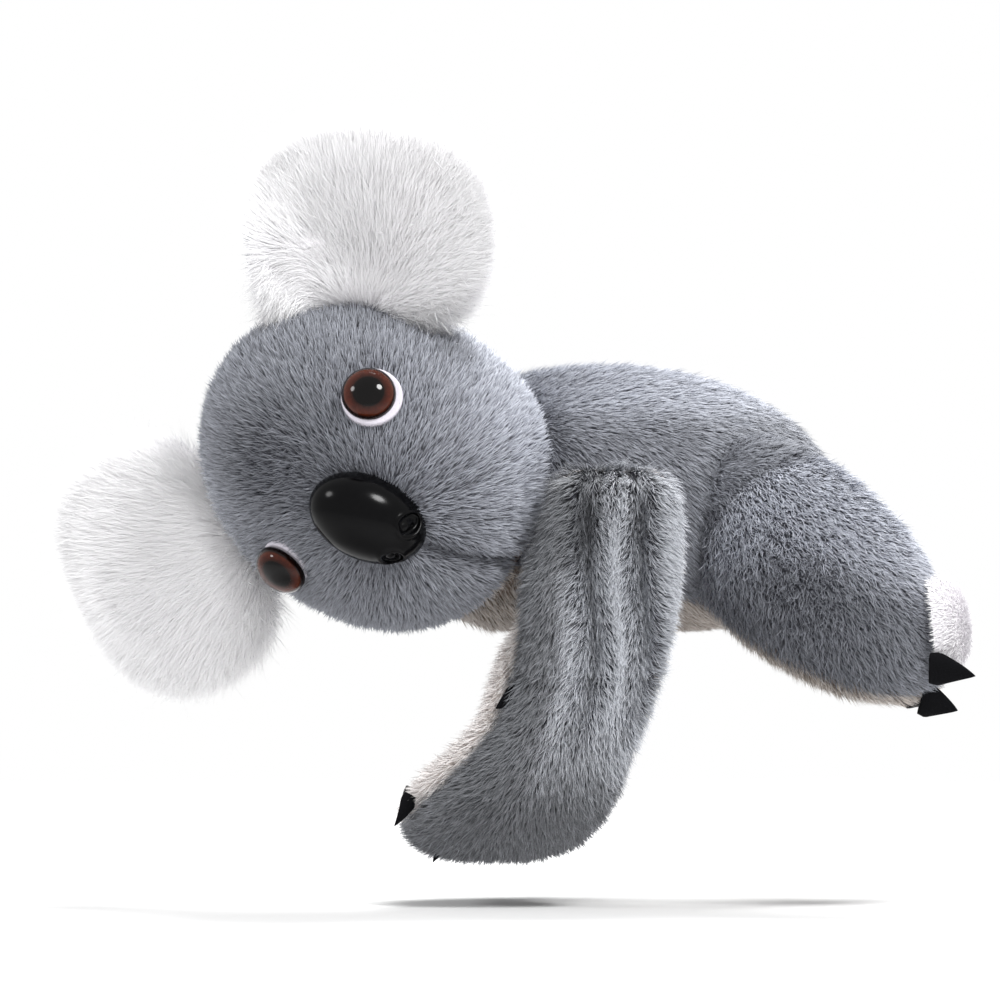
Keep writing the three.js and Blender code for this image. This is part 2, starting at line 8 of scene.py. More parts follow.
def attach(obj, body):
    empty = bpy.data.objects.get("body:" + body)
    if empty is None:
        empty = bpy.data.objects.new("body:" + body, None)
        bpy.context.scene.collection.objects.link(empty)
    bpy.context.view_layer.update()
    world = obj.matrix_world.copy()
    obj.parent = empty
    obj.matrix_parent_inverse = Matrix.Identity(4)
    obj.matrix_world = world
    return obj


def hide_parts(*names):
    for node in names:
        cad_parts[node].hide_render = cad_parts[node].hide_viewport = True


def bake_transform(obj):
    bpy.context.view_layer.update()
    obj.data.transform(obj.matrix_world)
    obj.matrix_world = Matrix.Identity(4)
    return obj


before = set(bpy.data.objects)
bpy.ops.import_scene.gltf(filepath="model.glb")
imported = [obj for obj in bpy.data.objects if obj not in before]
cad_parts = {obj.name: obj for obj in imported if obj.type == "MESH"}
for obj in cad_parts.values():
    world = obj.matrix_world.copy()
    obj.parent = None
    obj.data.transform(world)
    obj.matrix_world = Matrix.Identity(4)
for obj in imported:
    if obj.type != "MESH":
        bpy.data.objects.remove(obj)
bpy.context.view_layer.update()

# Head cover
# A tight ball of grey faux fur, sewn from panels inside out, turned and stuffed hard. The pile is
# combed away from the nose, stands straight up in a whorl on the forehead, and the mouth seam
# draws the muzzle into a crease between its two cheeks.
head_half = np.array([42.0, 43.5, 51.0])
head_turn = Euler([math.radians(angle) for angle in (58.4, 9.6, -112.75)], "XYZ")
head_place = np.array(Matrix.Translation((-56.0, -15.0, 71.6)) @ head_turn.to_matrix().to_4x4())
nose_direction = np.array([0.92, 0.0, -0.39])
eye_ways = [(0.766, 0.643, 0), (0.766, -0.643, 0)]
throat_depth = 8.6
throat_normal = np.array([-0.55, -0.2, -0.81]) / math.hypot(0.55, 0.2, 0.81)
throat_offset = 1 / np.linalg.norm(throat_normal / head_half) - throat_depth
plush_inset = 2.3
ear_turns = [math.radians(27), math.radians(146)]


def ball(cells):
    """Directions and faces of a ball of nearly square faces, cells to a side on each of six sides."""
    step = np.tan(np.linspace(-1, 1, cells + 1) * math.pi / 4)
    across, along = np.meshgrid(step, step, indexing="ij")
    sheets, faces = [], []
    index = np.arange((cells + 1) ** 2).reshape(cells + 1, cells + 1)
    quads = np.stack([index[:-1, :-1], index[1:, :-1], index[1:, 1:], index[:-1, 1:]], -1).reshape(-1, 4)
    for axis in range(3):
        for side in (-1.0, 1.0):
            sheet = np.empty(((cells + 1) ** 2, 3))
            sheet[:, axis] = side
            sheet[:, (axis + 1) % 3] = across.ravel() * side
            sheet[:, (axis + 2) % 3] = along.ravel()
            faces.append(quads + len(sheets) * (cells + 1) ** 2)
            sheets.append(sheet)
    points = np.concatenate(sheets)
    points /= np.linalg.norm(points, axis=1, keepdims=True)
    single, back = np.unique(np.round(points, 6), axis=0, return_inverse=True)
    return single, back.reshape(-1)[np.concatenate(faces)]


def stuffed(direction, half, inset=0.0, bluntness=1.0, taper=0.0, press=None):
    """The form of a stuffed ball in its own frame, with its poles on X."""
    ring = np.hypot(direction[:, 1], direction[:, 2])
    full = np.where(ring > 1e-6, np.maximum(ring, 1e-6) ** (bluntness - 1), 0) * (1 - taper * direction[:, 0])
    stand = (press(direction) if press else 0.0) - inset
    size = half * np.stack([np.ones(len(full)), full, full], 1)
    return direction * (size + np.reshape(stand, (-1, 1)))


def ramp(value, low, high):
    share = np.clip((value - low) / (high - low), 0, 1)
    return share * share * (3 - 2 * share)


def unit(vectors):
    return vectors / np.maximum(np.linalg.norm(vectors, axis=-1, keepdims=True), 1e-9)


def bump(direction, centre, radius):
    """1 at a centre direction, fading round it; radius is in radians."""
    angle = np.arccos(np.clip(direction @ unit(np.array(centre, float)), -1, 1))
    return np.exp(-(angle / radius) ** 2)


def placed(place, points):
    return points @ place[:3, :3].T + place[:3, 3]


def local(place, points):
    return (points - place[:3, 3]) @ place[:3, :3]


def inside(points, place, half, margin=0.0):
    return np.linalg.norm(local(place, points) / (np.array(half) + margin), axis=1) < 1


def pushed_out(points, place, half, gap, towards):
    """Slides the points inside an egg out of it, in one direction, to stand a gap off its surface."""
    size = np.array(half) + gap
    start = local(place, points) / size
    step = (np.array(towards, float) @ place[:3, :3]) / size
    a = step @ step
    b = start @ step
    c = np.einsum("ij,ij->i", start, start) - 1
    slide = (-b + np.sqrt(np.maximum(b * b - a * c, 0))) / a
    return points + np.where(c < 0, slide, 0)[:, None] * np.array(towards, float)


def bell(value, width):
    """1 at 0, fading to both sides."""
    return np.exp(-(value / width) ** 2)


def pinched(points, centre, normal, offset, depth, width):
    """Draws points in to a centre where they lie near a seam's plane."""
    near_seam = bell(points @ normal - offset, width)
    return points - (points - centre) * (depth * near_seam)[:, None]


def show(name, data):
    """A new object in the scene, its data under the same name."""
    data.name = name
    piece = bpy.data.objects.new(name, data)
    bpy.context.scene.collection.objects.link(piece)
    return piece


def mesh_object(name, points, faces, material):
    """A smooth mesh object from points in millimetres."""
    mesh = bpy.data.meshes.new(name)
    mesh.from_pydata(np.asarray(points, float) * 0.001, [], [tuple(map(int, face)) for face in faces])
    mesh.shade_smooth()
    mesh.materials.append(material)
    return show(name, mesh)


def twin(piece, name, material):
    """A copy of a piece under another name, in another material."""
    double = show(name, piece.data.copy())
    double.data.materials[0] = material
    return double


def millimetres(piece):
    points = np.empty(len(piece.data.vertices) * 3)
    piece.data.vertices.foreach_get("co", points)
    return points.reshape(-1, 3) * 1000


def cut_open(piece, normal=None, offset=0.0, share=None):
    """Keeps the side of a piece under a plane, or where its points' share is over 0. The faces that
    close the cut grow no pile."""
    mesh = bmesh.new()
    mesh.from_mesh(piece.data)
    bare = mesh.faces.layers.bool.new("bare")
    if share is None:
        geometry = mesh.verts[:] + mesh.edges[:] + mesh.faces[:]
        at = Vector(normal) * offset * 0.001
        cut = bmesh.ops.bisect_plane(mesh, geom=geometry, plane_co=at, plane_no=normal, clear_outer=True)
        rim = [edge for edge in cut["geom_cut"] if isinstance(edge, bmesh.types.BMEdge)]
        caps = bmesh.ops.holes_fill(mesh, edges=rim)["faces"]
    else:
        off = [vertex for vertex, stays in zip(mesh.verts, share > 0) if not stays]
        bmesh.ops.delete(mesh, geom=off, context="VERTS")
        rim = [edge for edge in mesh.edges if edge.is_boundary]
        caps = bmesh.ops.poke(mesh, faces=bmesh.ops.holes_fill(mesh, edges=rim)["faces"])["faces"]
    for face in caps:
        face[bare] = True
    mesh.to_mesh(piece.data)
    mesh.free()


def colour(code):
    """A colour written as six hexadecimal digits, in the renderer's linear values."""
    values = [int(code[i:i + 2], 16) / 255 for i in (0, 2, 4)]
    return tuple(v / 12.92 if v < 0.04045 else ((v + 0.055) / 1.055) ** 2.4 for v in values) + (1.0,)


def put(tree, node, values):
    """Sets inputs of a node, each from a socket or a plain value."""
    for key, value in dict(values).items():
        if isinstance(value, bpy.types.NodeSocket):
            tree.links.new(value, node.inputs[key])
        else:
            node.inputs[key].default_value = value
    return node


def new_node(tree, kind, values=(), **settings):
    node = tree.nodes.new(kind)
    for key, value in settings.items():
        setattr(node, key, value)
    return put(tree, node, values)


def new_material(name, roughness, specular=0.5):
    material = bpy.data.materials.new(name)
    material.use_nodes = True
    tree = material.node_tree
    values = {"Roughness": roughness, "Specular IOR Level": specular}
    return material, tree, put(tree, tree.nodes["Principled BSDF"], values)


def mixed(tree, share, first, second, blend="MIX"):
    """A colour between two, by a share that is a socket or a number."""
    values = {0: share, 6: first, 7: second}
    return new_node(tree, "ShaderNodeMix", values, data_type="RGBA", blend_type=blend).outputs[2]


def spread(tree, value, low, high, to_low=0.0, to_high=1.0):
    values = {"Value": value, "From Min": low, "From Max": high, "To Min": to_low, "To Max": to_high}
    return new_node(tree, "ShaderNodeMapRange", values).outputs["Result"]


def fine_noise(tree, scale, stretch=(1.0, 1.0, 1.0)):
    """Noise on the piece's own coordinates, with a scale in lumps to the metre."""
    place = new_node(tree, "ShaderNodeTexCoord").outputs["Object"]
    place = new_node(tree, "ShaderNodeMapping", {"Vector": place, "Scale": stretch}).outputs["Vector"]
    values = {"Vector": place, "Scale": scale, "Detail": 3.0}
    return new_node(tree, "ShaderNodeTexNoise", values).outputs["Fac"]


def mottled(name, dark, light, lumps, roughness, specular=0.5, even=(0.0, 1.0), relief=None, **noise):
    """A material between two colours in fine lumps. A relief is its strength, depth and lumps."""
    material, tree, shader = new_material(name, roughness, specular)
    share = spread(tree, fine_noise(tree, lumps, **noise), *even)
    put(tree, shader, {"Base Color": mixed(tree, share, colour(dark), colour(light))})
    if relief:
        strength, depth, size = relief
        values = {"Strength": strength, "Distance": depth, "Height": fine_noise(tree, size)}
        put(tree, shader, {"Normal": new_node(tree, "ShaderNodeBump", values).outputs["Normal"]})
    return material


def knit_with_painted_shade(name, dark, light):
    """The knit the pile is tufted into, mottled in fine lumps and coloured darker than the fibres: painted
    shade in the gaps between them.
    """
    return mottled(name, dark, light, 900.0, 0.95, 0.2, even=(0.35, 0.65), relief=(0.5, 0.0006, 1600.0))


def colour_run(tree, value, stops):
    """A colour that runs with a value through stops, each its place and colour code."""
    run = new_node(tree, "ShaderNodeValToRGB", {"Fac": value})
    for place, _ in stops[1:-1]:
        run.color_ramp.elements.new(place)
    for stop, (place, code) in zip(run.color_ramp.elements, stops):
        stop.position = place
        stop.color = colour(code)
    return run.outputs["Color"]


def pile_material(name, root, middle, tip, dark_share):
    """Fur fibre: its colour runs from root to tip, and some fibres are darker than others, by chance and by
    the painted light and shade of the cover's tone.
    """
    material, tree, shader = new_material(name, 0.62, 0.35)
    spot = new_node(tree, "ShaderNodeUVMap", uv_map="OFBake").outputs["UV"]
    parts = new_node(tree, "ShaderNodeSeparateXYZ", {0: spot}).outputs
    run = colour_run(tree, parts["Y"], ((0.0, root), (0.45, middle), (1.0, tip)))
    dark = spread(tree, parts["X"], 0.0, 1.0, dark_share, 1.0)
    put(tree, shader, {"Base Color": mixed(tree, 1.0, run, dark, "MULTIPLY")})
    return material


grey_knit = knit_with_painted_shade("grey_knit", "57585e", "7c7e87")
grey_pile = pile_material("grey_pile", "626268", "a0a3ad", "d2d6e0", 0.46)


# One fibre is a thin blade of three faces, a millimetre wide and long before the tree scales it.
blade = bpy.data.meshes.new("fibre")
blade.from_pydata(
    [(-0.5, 0, 0), (0.5, 0, 0), (-0.42, 0.13, 0.5), (0.42, 0.13, 0.5), (0, 0, 1)],
    [],
    [(0, 1, 3, 2), (2, 3, 4)],
)
blade.shade_smooth()
blade_map = blade.uv_layers.new(name="OFBake")
blade_spots = ((0, 0), (1, 0), (1, 0.5), (0, 0.5), (0, 0.5), (1, 0.5), (0.5, 1))
for corner, spot in zip(blade_map.data, blade_spots):
    corner.uv = spot
fibre = bpy.data.objects.new("fibre", blade)


def fur_tree():
    """Geometry Nodes that grow pile on a cover. Each point's pile, comb and lean are on the cover's mesh."""
    tree = bpy.data.node_groups.new("fur_pile", "GeometryNodeTree")
    amounts = ("Fibres per mm2", "Length", "Width", "Stray", "Clump", "Clump size", "Shade spread")
    sockets = [("Cover", "Geometry")] + [(name, "Float") for name in amounts]
    for name, kind in sockets + [("Seed", "Int"), ("Material", "Material")]:
        tree.interface.new_socket(name, in_out="INPUT", socket_type=f"NodeSocket{kind}")
    tree.interface.new_socket("Pile", in_out="OUTPUT", socket_type="NodeSocketGeometry")

    def add(kind, values=(), **settings):
        return new_node(tree, kind, values, **settings)

    def maths(operation, *values):
        return add("ShaderNodeMath", enumerate(values), operation=operation).outputs[0]

    def times(first, *others):
        for other in others:
            first = maths("MULTIPLY", first, other)
        return first

    def plus(first, *others):
        for other in others:
            first = maths("ADD", first, other)
        return first

    def vector(operation, *values):
        node = add("ShaderNodeVectorMath", enumerate(values), operation=operation)
        return node.outputs[1 if operation == "DOT_PRODUCT" else 0]

    def scaled(value, scale):
        return add("ShaderNodeVectorMath", {0: value, "Scale": scale}, operation="SCALE").outputs[0]

    def named(kind, name):
        return add("GeometryNodeInputNamedAttribute", {"Name": name}, data_type=kind).outputs["Attribute"]

    def random(low, high, seed):
        values = {2: low, 3: high, "Seed": plus(entry["Seed"], float(seed))}
        return add("FunctionNodeRandomValue", values, data_type="FLOAT").outputs[1]

    def jolt(seed, scale):
        values = {0: (-1.0, -1.0, -1.0), 1: (1.0, 1.0, 1.0), "Seed": plus(entry["Seed"], float(seed))}
        return scaled(add("FunctionNodeRandomValue", values, data_type="FLOAT_VECTOR").outputs[0], scale)

    entry = add("NodeGroupInput").outputs
    pile = named("FLOAT", "pile")
    furred = add("FunctionNodeBooleanMath", {0: named("BOOLEAN", "bare")}, operation="NOT")
    scatter = add("GeometryNodeDistributePointsOnFaces", {
        "Mesh": entry["Cover"], "Selection": furred.outputs[0], "Seed": entry["Seed"],
        "Density": times(entry["Fibres per mm2"], 1e6, maths("GREATER_THAN", pile, 0.05)),
    })

    normal = scatter.outputs["Normal"]
    comb = named("FLOAT_VECTOR", "comb")
    flat = vector("SUBTRACT", comb, scaled(normal, vector("DOT_PRODUCT", comb, normal)))
    lean = plus(named("FLOAT", "lean"), random(-0.22, 0.22, 11))
    leaning = scaled(vector("NORMALIZE", flat), maths("SINE", lean))
    direction = vector("ADD", scaled(normal, maths("COSINE", lean)), leaning)
    lumps = add("ShaderNodeTexNoise", {
        "Vector": add("GeometryNodeInputPosition").outputs[0],
        "Scale": maths("DIVIDE", 1000.0, entry["Clump size"]), "Detail": 2.0,
    })
    clumps = vector("SUBTRACT", lumps.outputs["Color"], (0.5, 0.5, 0.5))
    direction = vector("ADD", direction, scaled(clumps, entry["Clump"]))
    axes = {
        "Primary Axis": vector("ADD", direction, jolt(12, entry["Stray"])),
        "Secondary Axis": vector("ADD", normal, jolt(13, 0.35)),
    }
    turn = add("FunctionNodeAxesToRotation", axes, primary_axis="Z", secondary_axis="Y")

    long = times(entry["Length"], pile, random(0.72, 1.12, 14), 0.001)
    wide = times(entry["Width"], random(0.7, 1.2, 15), 0.001)
    size = add("ShaderNodeCombineXYZ", enumerate((wide, long, long)))
    # Each fibre's shade: random lumps, a random share of its own, and the cover's tone, which is painted
    # light and shade.
    patch = times(maths("SUBTRACT", lumps.outputs["Fac"], 0.5), 1.2)
    own = times(random(-0.5, 0.5, 16), entry["Shade spread"])
    tone = plus(0.5, patch, own, named("FLOAT", "tone"))
    tone = maths("MINIMUM", maths("MAXIMUM", tone, 0.01), 0.97)
    shade = add("GeometryNodeStoreNamedAttribute", {
        "Geometry": scatter.outputs["Points"], "Name": "shade", "Value": tone,
    }, data_type="FLOAT", domain="POINT")

    source = add("GeometryNodeObjectInfo", {"Object": fibre})
    stand = add("GeometryNodeInstanceOnPoints", {
        "Points": shade.outputs["Geometry"], "Instance": source.outputs["Geometry"],
        "Rotation": turn.outputs["Rotation"], "Scale": size.outputs[0],
    })
    real = add("GeometryNodeRealizeInstances", {"Geometry": stand.outputs["Instances"]})
    parts = add("ShaderNodeSeparateXYZ", {0: named("FLOAT_VECTOR", "OFBake")}).outputs
    own = plus(named("FLOAT", "shade"), times(parts[0], 0.02))
    place = add("ShaderNodeCombineXYZ", {0: own, 1: parts[1]})
    bake = add("GeometryNodeStoreNamedAttribute", {
        "Geometry": real.outputs["Geometry"], "Name": "OFBake", "Value": place.outputs[0],
    }, data_type="FLOAT2", domain="CORNER")
    dyed = {"Geometry": bake.outputs["Geometry"], "Material": entry["Material"]}
    add("NodeGroupOutput", {"Pile": add("GeometryNodeSetMaterial", dyed).outputs["Geometry"]})
    return tree


pile_grower = fur_tree()


def mark(piece, name, values):
    """Writes a number on each point of a piece."""
    points = piece.data.attributes.new(name, "FLOAT", "POINT").data
    points.foreach_set("value", np.ascontiguousarray(values, np.float32))


def set_nap(cover, pile, comb, lean, tone=0.0):
    """Writes how the pile lies on each point of a cover: its share of full length, way, lean and tone. The
    tone is painted light and shade.
    """
    for name, value in (("pile", pile), ("lean", lean), ("tone", tone)):
        mark(cover, name, np.broadcast_to(value, len(cover.data.vertices)))
    way = cover.data.attributes.new("comb", "FLOAT_VECTOR", "POINT")
    way.data.foreach_set("vector", np.ascontiguousarray(unit(comb), np.float32).ravel())
    if "bare" not in cover.data.attributes:
        cover.data.attributes.new("bare", "BOOLEAN", "FACE")


def grow_pile(cover, name, material, seed, fibres=4.0, length=5.5, width=0.34, stray=0.16, clump=0.8,
              clump_size=3.2, shade_spread=0.9):
    """Grows the pile on a cover whose nap is set, as one plain mesh."""
    values = {
        "Fibres per mm2": fibres, "Length": length, "Width": width, "Stray": stray, "Clump": clump,
        "Clump size": clump_size, "Shade spread": shade_spread, "Seed": seed, "Material": material,
    }
    grower = cover.modifiers.new("pile", "NODES")
    grower.node_group = pile_grower
    for socket in pile_grower.interface.items_tree:
        if socket.name in values:
            grower[socket.identifier] = values[socket.name]
    cover.update_tag()
    bpy.context.view_layer.update()
    graph = bpy.context.evaluated_depsgraph_get()
    seen = cover.evaluated_get(graph)
    grown = bpy.data.meshes.new_from_object(seen, preserve_all_data_layers=True, depsgraph=graph)
    cover.modifiers.remove(grower)
    for extra in ("shade", "pile", "lean", "tone", "comb", "bare"):
        if extra in grown.attributes:
            grown.attributes.remove(grown.attributes[extra])
    return show(name, grown)


def head_press(direction):
    cheeks = sum(bump(direction, (0.62, aside, -0.6), 0.45) for aside in (0.5, -0.5))
    below = ramp(-direction[:, 2], 0.5, 0.75) * ramp(direction[:, 0], -0.1, 0.35)
    crease = 4.5 * below * bell(direction[:, 1] + 0.02, 0.06)
    sockets = sum(bump(direction, eye_way, 0.2) for eye_way in eye_ways)
    upper_jaw = 3.5 * bump(direction, (0.0, 0.75, -0.65), 0.55)
    return 4.0 * np.minimum(cheeks, 1.0) + upper_jaw - crease - 1.0 * sockets


head_way, head_faces = ball(44)
head_points = placed(head_place, stuffed(head_way, head_half, plush_inset, press=head_press))
throat_world = head_place[:3, :3] @ throat_normal
throat_plane = throat_offset + throat_world @ head_place[:3, 3]
head_points = pinched(head_points, head_place[:3, 3], throat_world, throat_plane, 0.02, 1.5)
body_place = np.array(Matrix.Translation((8.0, 0.0, 59.0)))
body_half = np.array([66.0, 38.0, 40.0])


def combed_from_nose(way):
    """The way of fur that is combed over the head, away from the nose."""
    return (way * (way @ nose_direction)[:, None] - nose_direction) @ head_place[:3, :3].T


def head_nap(cover):
    points = millimetres(cover)
    spots = local(head_place, points)
    way = unit(spots / head_half)
    whorl = bump(way, (0.95, -0.03, 0.31), 0.36)
    near_nose = bump(way, nose_direction, 0.42)
    lean = 1.05 - 0.9 * whorl - 0.1 * near_nose
    pile = (1.0 - 0.3 * near_nose) * ~inside(points, body_place, body_half, -4.0)
    for eye_way in eye_ways:
        pile *= 1 - 0.5 * bump(way, eye_way, 0.17)
    off_mouth = way[:, 1] + 0.02
    crease = ramp(-way[:, 2], 0.42, 0.62) * ramp(way[:, 0], -0.05, 0.3) * bell(off_mouth, 0.05)
    pile *= 1 - 0.6 * crease
    parting = 0.6 * np.sign(off_mouth) * bell(off_mouth, 0.1) * crease
    comb = unit(combed_from_nose(way)) + parting[:, None] * head_place[:3, 1]
    # The tone is painted light and shade: darker low on the head and in a band where each ear meets it,
    # lighter towards the right and darker at the far left, and darker in the whorl and the mouth crease.
    under = ramp(-points[:, 2], -62, -38)
    for angle in ear_turns:
        out, across = math.cos(angle), math.sin(angle)
        wide = 1 - ramp(np.abs(spots[:, 2] * out - spots[:, 1] * across), 26, 36)
        behind = spots[:, 1] * out + spots[:, 2] * across > 20
        under = under + 1.6 * bell(spots[:, 0] - 8, 5) * wide * behind
    lit = 0.6 * ramp(points[:, 0], -38, -12) - 0.2 * ramp(-points[:, 0], 45, 62)
    set_nap(cover, pile, comb, lean, lit - 0.08 - 0.8 * whorl - 0.6 * crease - 0.5 * under)


def dress(cover, material, seed, replaced, slot, fill=0.9, **look):
    """Grows a stuffed cover's pile and sets both on the torso, in the place of what they stand for."""
    pile = grow_pile(cover, cover.name.replace("_skin", "_pile"), material, seed, **look)
    for piece in (cover, pile):
        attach(piece, "torso")
    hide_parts(*replaced)


head_skin = mesh_object("head_skin", head_points, head_faces, grey_knit)
cream_knit = knit_with_painted_shade("cream_knit", "8d7f74", "b7aaa0")
throat_skin = twin(head_skin, "throat_skin", cream_knit)
cut_open(head_skin, throat_world, throat_plane)
head_nap(head_skin)
dress(head_skin, grey_pile, 1, ("head_cover", "head_stuffing"), "plush", fibres=3.2, length=5.0, width=0.3,
      stray=0.2, clump=1.0, clump_size=2.6, shade_spread=0.7)

# Throat patch
# A cream plush gusset that closes the head below the chin. It is sewn to the grey cover along one
# round seam and lies half under the near arm.
cream_pile = pile_material("cream_pile", "7d6d61", "c4b8ae", "ece6e2", 0.72)
cut_open(throat_skin, -throat_world, -throat_plane)
throat_points = millimetres(throat_skin)
throat_comb = combed_from_nose(unit(local(head_place, throat_points) / head_half))
throat_shown = 0.9 * ~inside(throat_points, body_place, body_half, -4.0)
set_nap(throat_skin, throat_shown, throat_comb, 1.1)
dress(throat_skin, cream_pile, 2, ("throat_patch",), "inner_plush", fibres=3.0, length=5.0)

# Ears
# Each ear is a floppy pad: long white pile in front, short grey plush behind, sewn together round
# the rim and stitched to the side of the head. The upper one curls forward at its outer edge, which
# shows its grey back, and hangs in a lobe over the brow.
ear_half = np.array([8.0, 30.0, 36.5])
ear_inset = np.array([1.8, 4.2, 4.2])
ear_corner = 2.6
fold_start = 14.0
fold_radius = 17.0
fold_core = 2.0
white_knit = knit_with_painted_shade("white_knit", "e4e1e4", "f7f5f8")
white_pile = pile_material("white_pile", "f2eff2", "faf9fb", "fefefe", 0.97)


def ear_frame(angle, reach):
    turn = Matrix.Rotation(angle, 4, "X")
    shift = Matrix.Translation((0, reach * math.cos(angle), reach * math.sin(angle)))
    return head_place @ np.array(shift @ turn)


def make_ear(side, angle, reach, curl, seed):
    place = ear_frame(angle, reach)
    way, faces = ball(30)
    form = stuffed(way, ear_half - ear_inset, 0.0, 0.75)
    turn = np.arctan2(form[:, 1] / ear_half[1], form[:, 2] / ear_half[2])
    squared = np.abs(np.cos(turn)) ** ear_corner + np.abs(np.sin(turn)) ** ear_corner
    form[:, 1:] *= (squared ** (-1 / ear_corner))[:, None]
    along, across = form[:, 1].copy(), form[:, 2].copy()
    front = ramp(way[:, 0], 0.0, 0.5)
    hollow = np.exp(-((across - 1) / 12) ** 2 - ((along + 8) / 13) ** 2)
    roll = bell(np.hypot(along / 26, across / 32.5) - 0.75, 0.18)
    form[:, 0] += front * (1.2 * roll - 4.0 * curl * hollow) + 1.5 * curl * ramp(-across, 10, 32)
    # The outer edge rolls forward round a soft fold, tightest at the bottom.
    rolled = curl * ramp(-along, -16, 6)
    across *= 1 + 0.22 * rolled * ramp(across, 0, fold_start)
    past = np.maximum(across - fold_start, 0)
    radius = fold_radius / np.maximum(rolled, 0.02)
    inner = radius - form[:, 0] - fold_core
    form[:, 2] = np.where(past > 0, fold_start + inner * np.sin(past / radius), across)
    form[:, 0] = np.where(past > 0, radius - fold_core - inner * np.cos(past / radius), form[:, 0])
    form[:, 1] -= curl * 5.0 * ramp(across, 8, 26) * ramp(-along, 4, 24)
    points = pushed_out(placed(place, form), head_place, head_half - plush_inset, 0.3, place[:3, 1])
    pad = mesh_object(f"{side}_ear_front_skin", points, faces, white_knit)
    back = twin(pad, f"{side}_ear_back_skin", grey_knit)
    for cover, name, sign, material, slot, fibres, length, width, shade_spread in (
        (pad, "front", 1, white_pile, "ear_pile", 16.0, 8.6, 0.16, 0.4),
        (back, "back", -1, grey_pile, "plush", 3.4, 4.6, 0.3, 0.9),
    ):
        cut_open(cover, share=sign * (way[:, 0] + 0.05))
        spots = local(place, millimetres(cover))
        comb = np.zeros_like(spots)
        if curl > 0.5:
            lobe = ramp(spots[:, 2], 10, 24) * ramp(-spots[:, 1], -6, 14)
            comb[:, 1] = (spots[:, 1] + 27) / 16 - 1.6 * lobe
            comb[:, 2] = (spots[:, 2] - 2) / 16
        else:
            comb[:, 1] = 0.8 + 0.4 * ramp(spots[:, 1], 0, 24)
            comb[:, 2] = -0.35 + 1.1 * np.tanh(spots[:, 2] / 22)
        comb = unit(comb) @ place[:3, :3].T + np.array([0.0, 0.0, -0.15])
        lean = 1.3 - 0.65 * ramp(np.hypot(spots[:, 1] / 26, spots[:, 2] / 32.5), 0.72, 1.0)
        set_nap(cover, ~inside(millimetres(cover), head_place, head_half, -1.5), comb, lean)
        dress(cover, material, seed + (sign > 0), (f"{side}_ear_{name}",), slot, 0.7, fibres=fibres,
              length=length, width=width, stray=0.15, clump=0.3, clump_size=6.0, shade_spread=shade_spread)
    hairs = grow_pile(pad, f"{side}_ear_hairs", white_pile, seed + 2, fibres=1.0, length=12.0, width=0.13,
                      stray=0.5, clump=0.6, clump_size=6.0)
    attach(hairs, "torso")


make_ear("left", ear_turns[0], 65.0, 1.0, 10)
make_ear("right", ear_turns[1], 71.0, 0.2, 14)

# Eyes
# Domed safety eyes: a clear brown shell over a black pupil, on a white felt ring. The stem goes
# through the ring and the cover into a lock washer inside the head.
eye_angle = math.radians(40)
eye_radius = 7.5
eye_dome = 5.5
eye_seat = 1.5
eye_edge = eye_seat + 0.6
ring_profile = [(0, -2.5), (8.7, -2.5), (8.9, 0.4), (8.7, 0.95), (8.1, 1.15), (0, 1.15)]
dome_profile = [(0, eye_seat - 1), (eye_radius * 0.97, eye_seat - 1), (eye_radius, eye_seat - 0.4)]
dome_profile.append((eye_radius, eye_edge))
for step in range(1, 15):
    rise = step / 14 * math.pi / 2
    dome_profile.append((eye_radius * 0.985 * math.cos(rise), eye_edge + (eye_dome - 0.6) * math.sin(rise)))


def facing(direction, origin):
    turn = Vector((1, 0, 0)).rotation_difference(Vector(direction)).to_matrix().to_4x4()
    return np.array(Matrix.Translation(origin) @ turn)


def on_head(direction):
    """A frame on the head's surface that faces out along a direction of the head's own frame."""
    way = unit(np.array(direction, float))
    return head_place @ facing(way, way / np.linalg.norm(way / head_half))


def tube(name, rings, first, last, place, material):
    """A closed piece from rings of points, between a first and a last point on its axis."""
    sides = len(rings[0])
    points = [first, *(point for ring in rings for point in ring), last]
    end = len(points) - 1 - sides
    faces = []
    for i in range(sides):
        n = (i + 1) % sides
        faces.append((0, 1 + n, 1 + i))
        for low in range(1, end, sides):
            faces.append((low + i, low + n, low + sides + n, low + sides + i))
        faces.append((end + i, end + n, len(points) - 1))
    return mesh_object(name, placed(place, np.array(points, float)), faces, material)


def turned(name, profile, place, material):
    """A round piece from [radius, along] pairs, the first and last on its axis."""
    angle = np.linspace(0, 2 * math.pi, 64, endpoint=False)
    rings = [[(along, r * math.cos(a), r * math.sin(a)) for a in angle] for r, along in profile[1:-1]]
    return tube(name, rings, (profile[0][1], 0, 0), (profile[-1][1], 0, 0), place, material)


def radial_map(piece, place):
    """Keeps each point's distance from the eye's axis, as a share of its radius. The disc that it
    colours lies deep under the clear dome, so that it seems to sit further back."""
    spots = local(place, millimetres(piece))
    sight = place[:3, :3].T @ np.array([0.0, -1.0, 0.0])
    shift = sight[1:] / max(sight[0], 0.6) * 0.6
    spots[:, 1:] -= np.maximum(spots[:, :1] - eye_seat, 0) * shift
    mark(piece, "off_axis", np.hypot(spots[:, 1], spots[:, 2]) / eye_radius)


def settle(piece, node, body="torso"):
    """Sets a piece on a body, in the place of the solid it stands for."""
    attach(piece, body)
    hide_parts(node)


eye_brown, tree, shader = new_material("eye_brown", 0.08, 0.18)
off_axis = new_node(tree, "ShaderNodeAttribute", attribute_name="off_axis").outputs["Fac"]
iris = colour_run(tree, off_axis, (
    (0.0, "040303"), (0.55, "060404"), (0.61, "26100a"), (0.76, "40190f"), (0.87, "4a2012"),
    (0.94, "160906"), (1.0, "0c0504"),
))
flecks = spread(tree, fine_noise(tree, 900.0), 0.3, 0.7, 0.75, 1.15)
put(tree, shader, {"Base Color": mixed(tree, 1.0, iris, flecks, "MULTIPLY")})
felt_white = mottled("felt_white", "c2bdc7", "e4dfe8", 2200.0, 0.95)

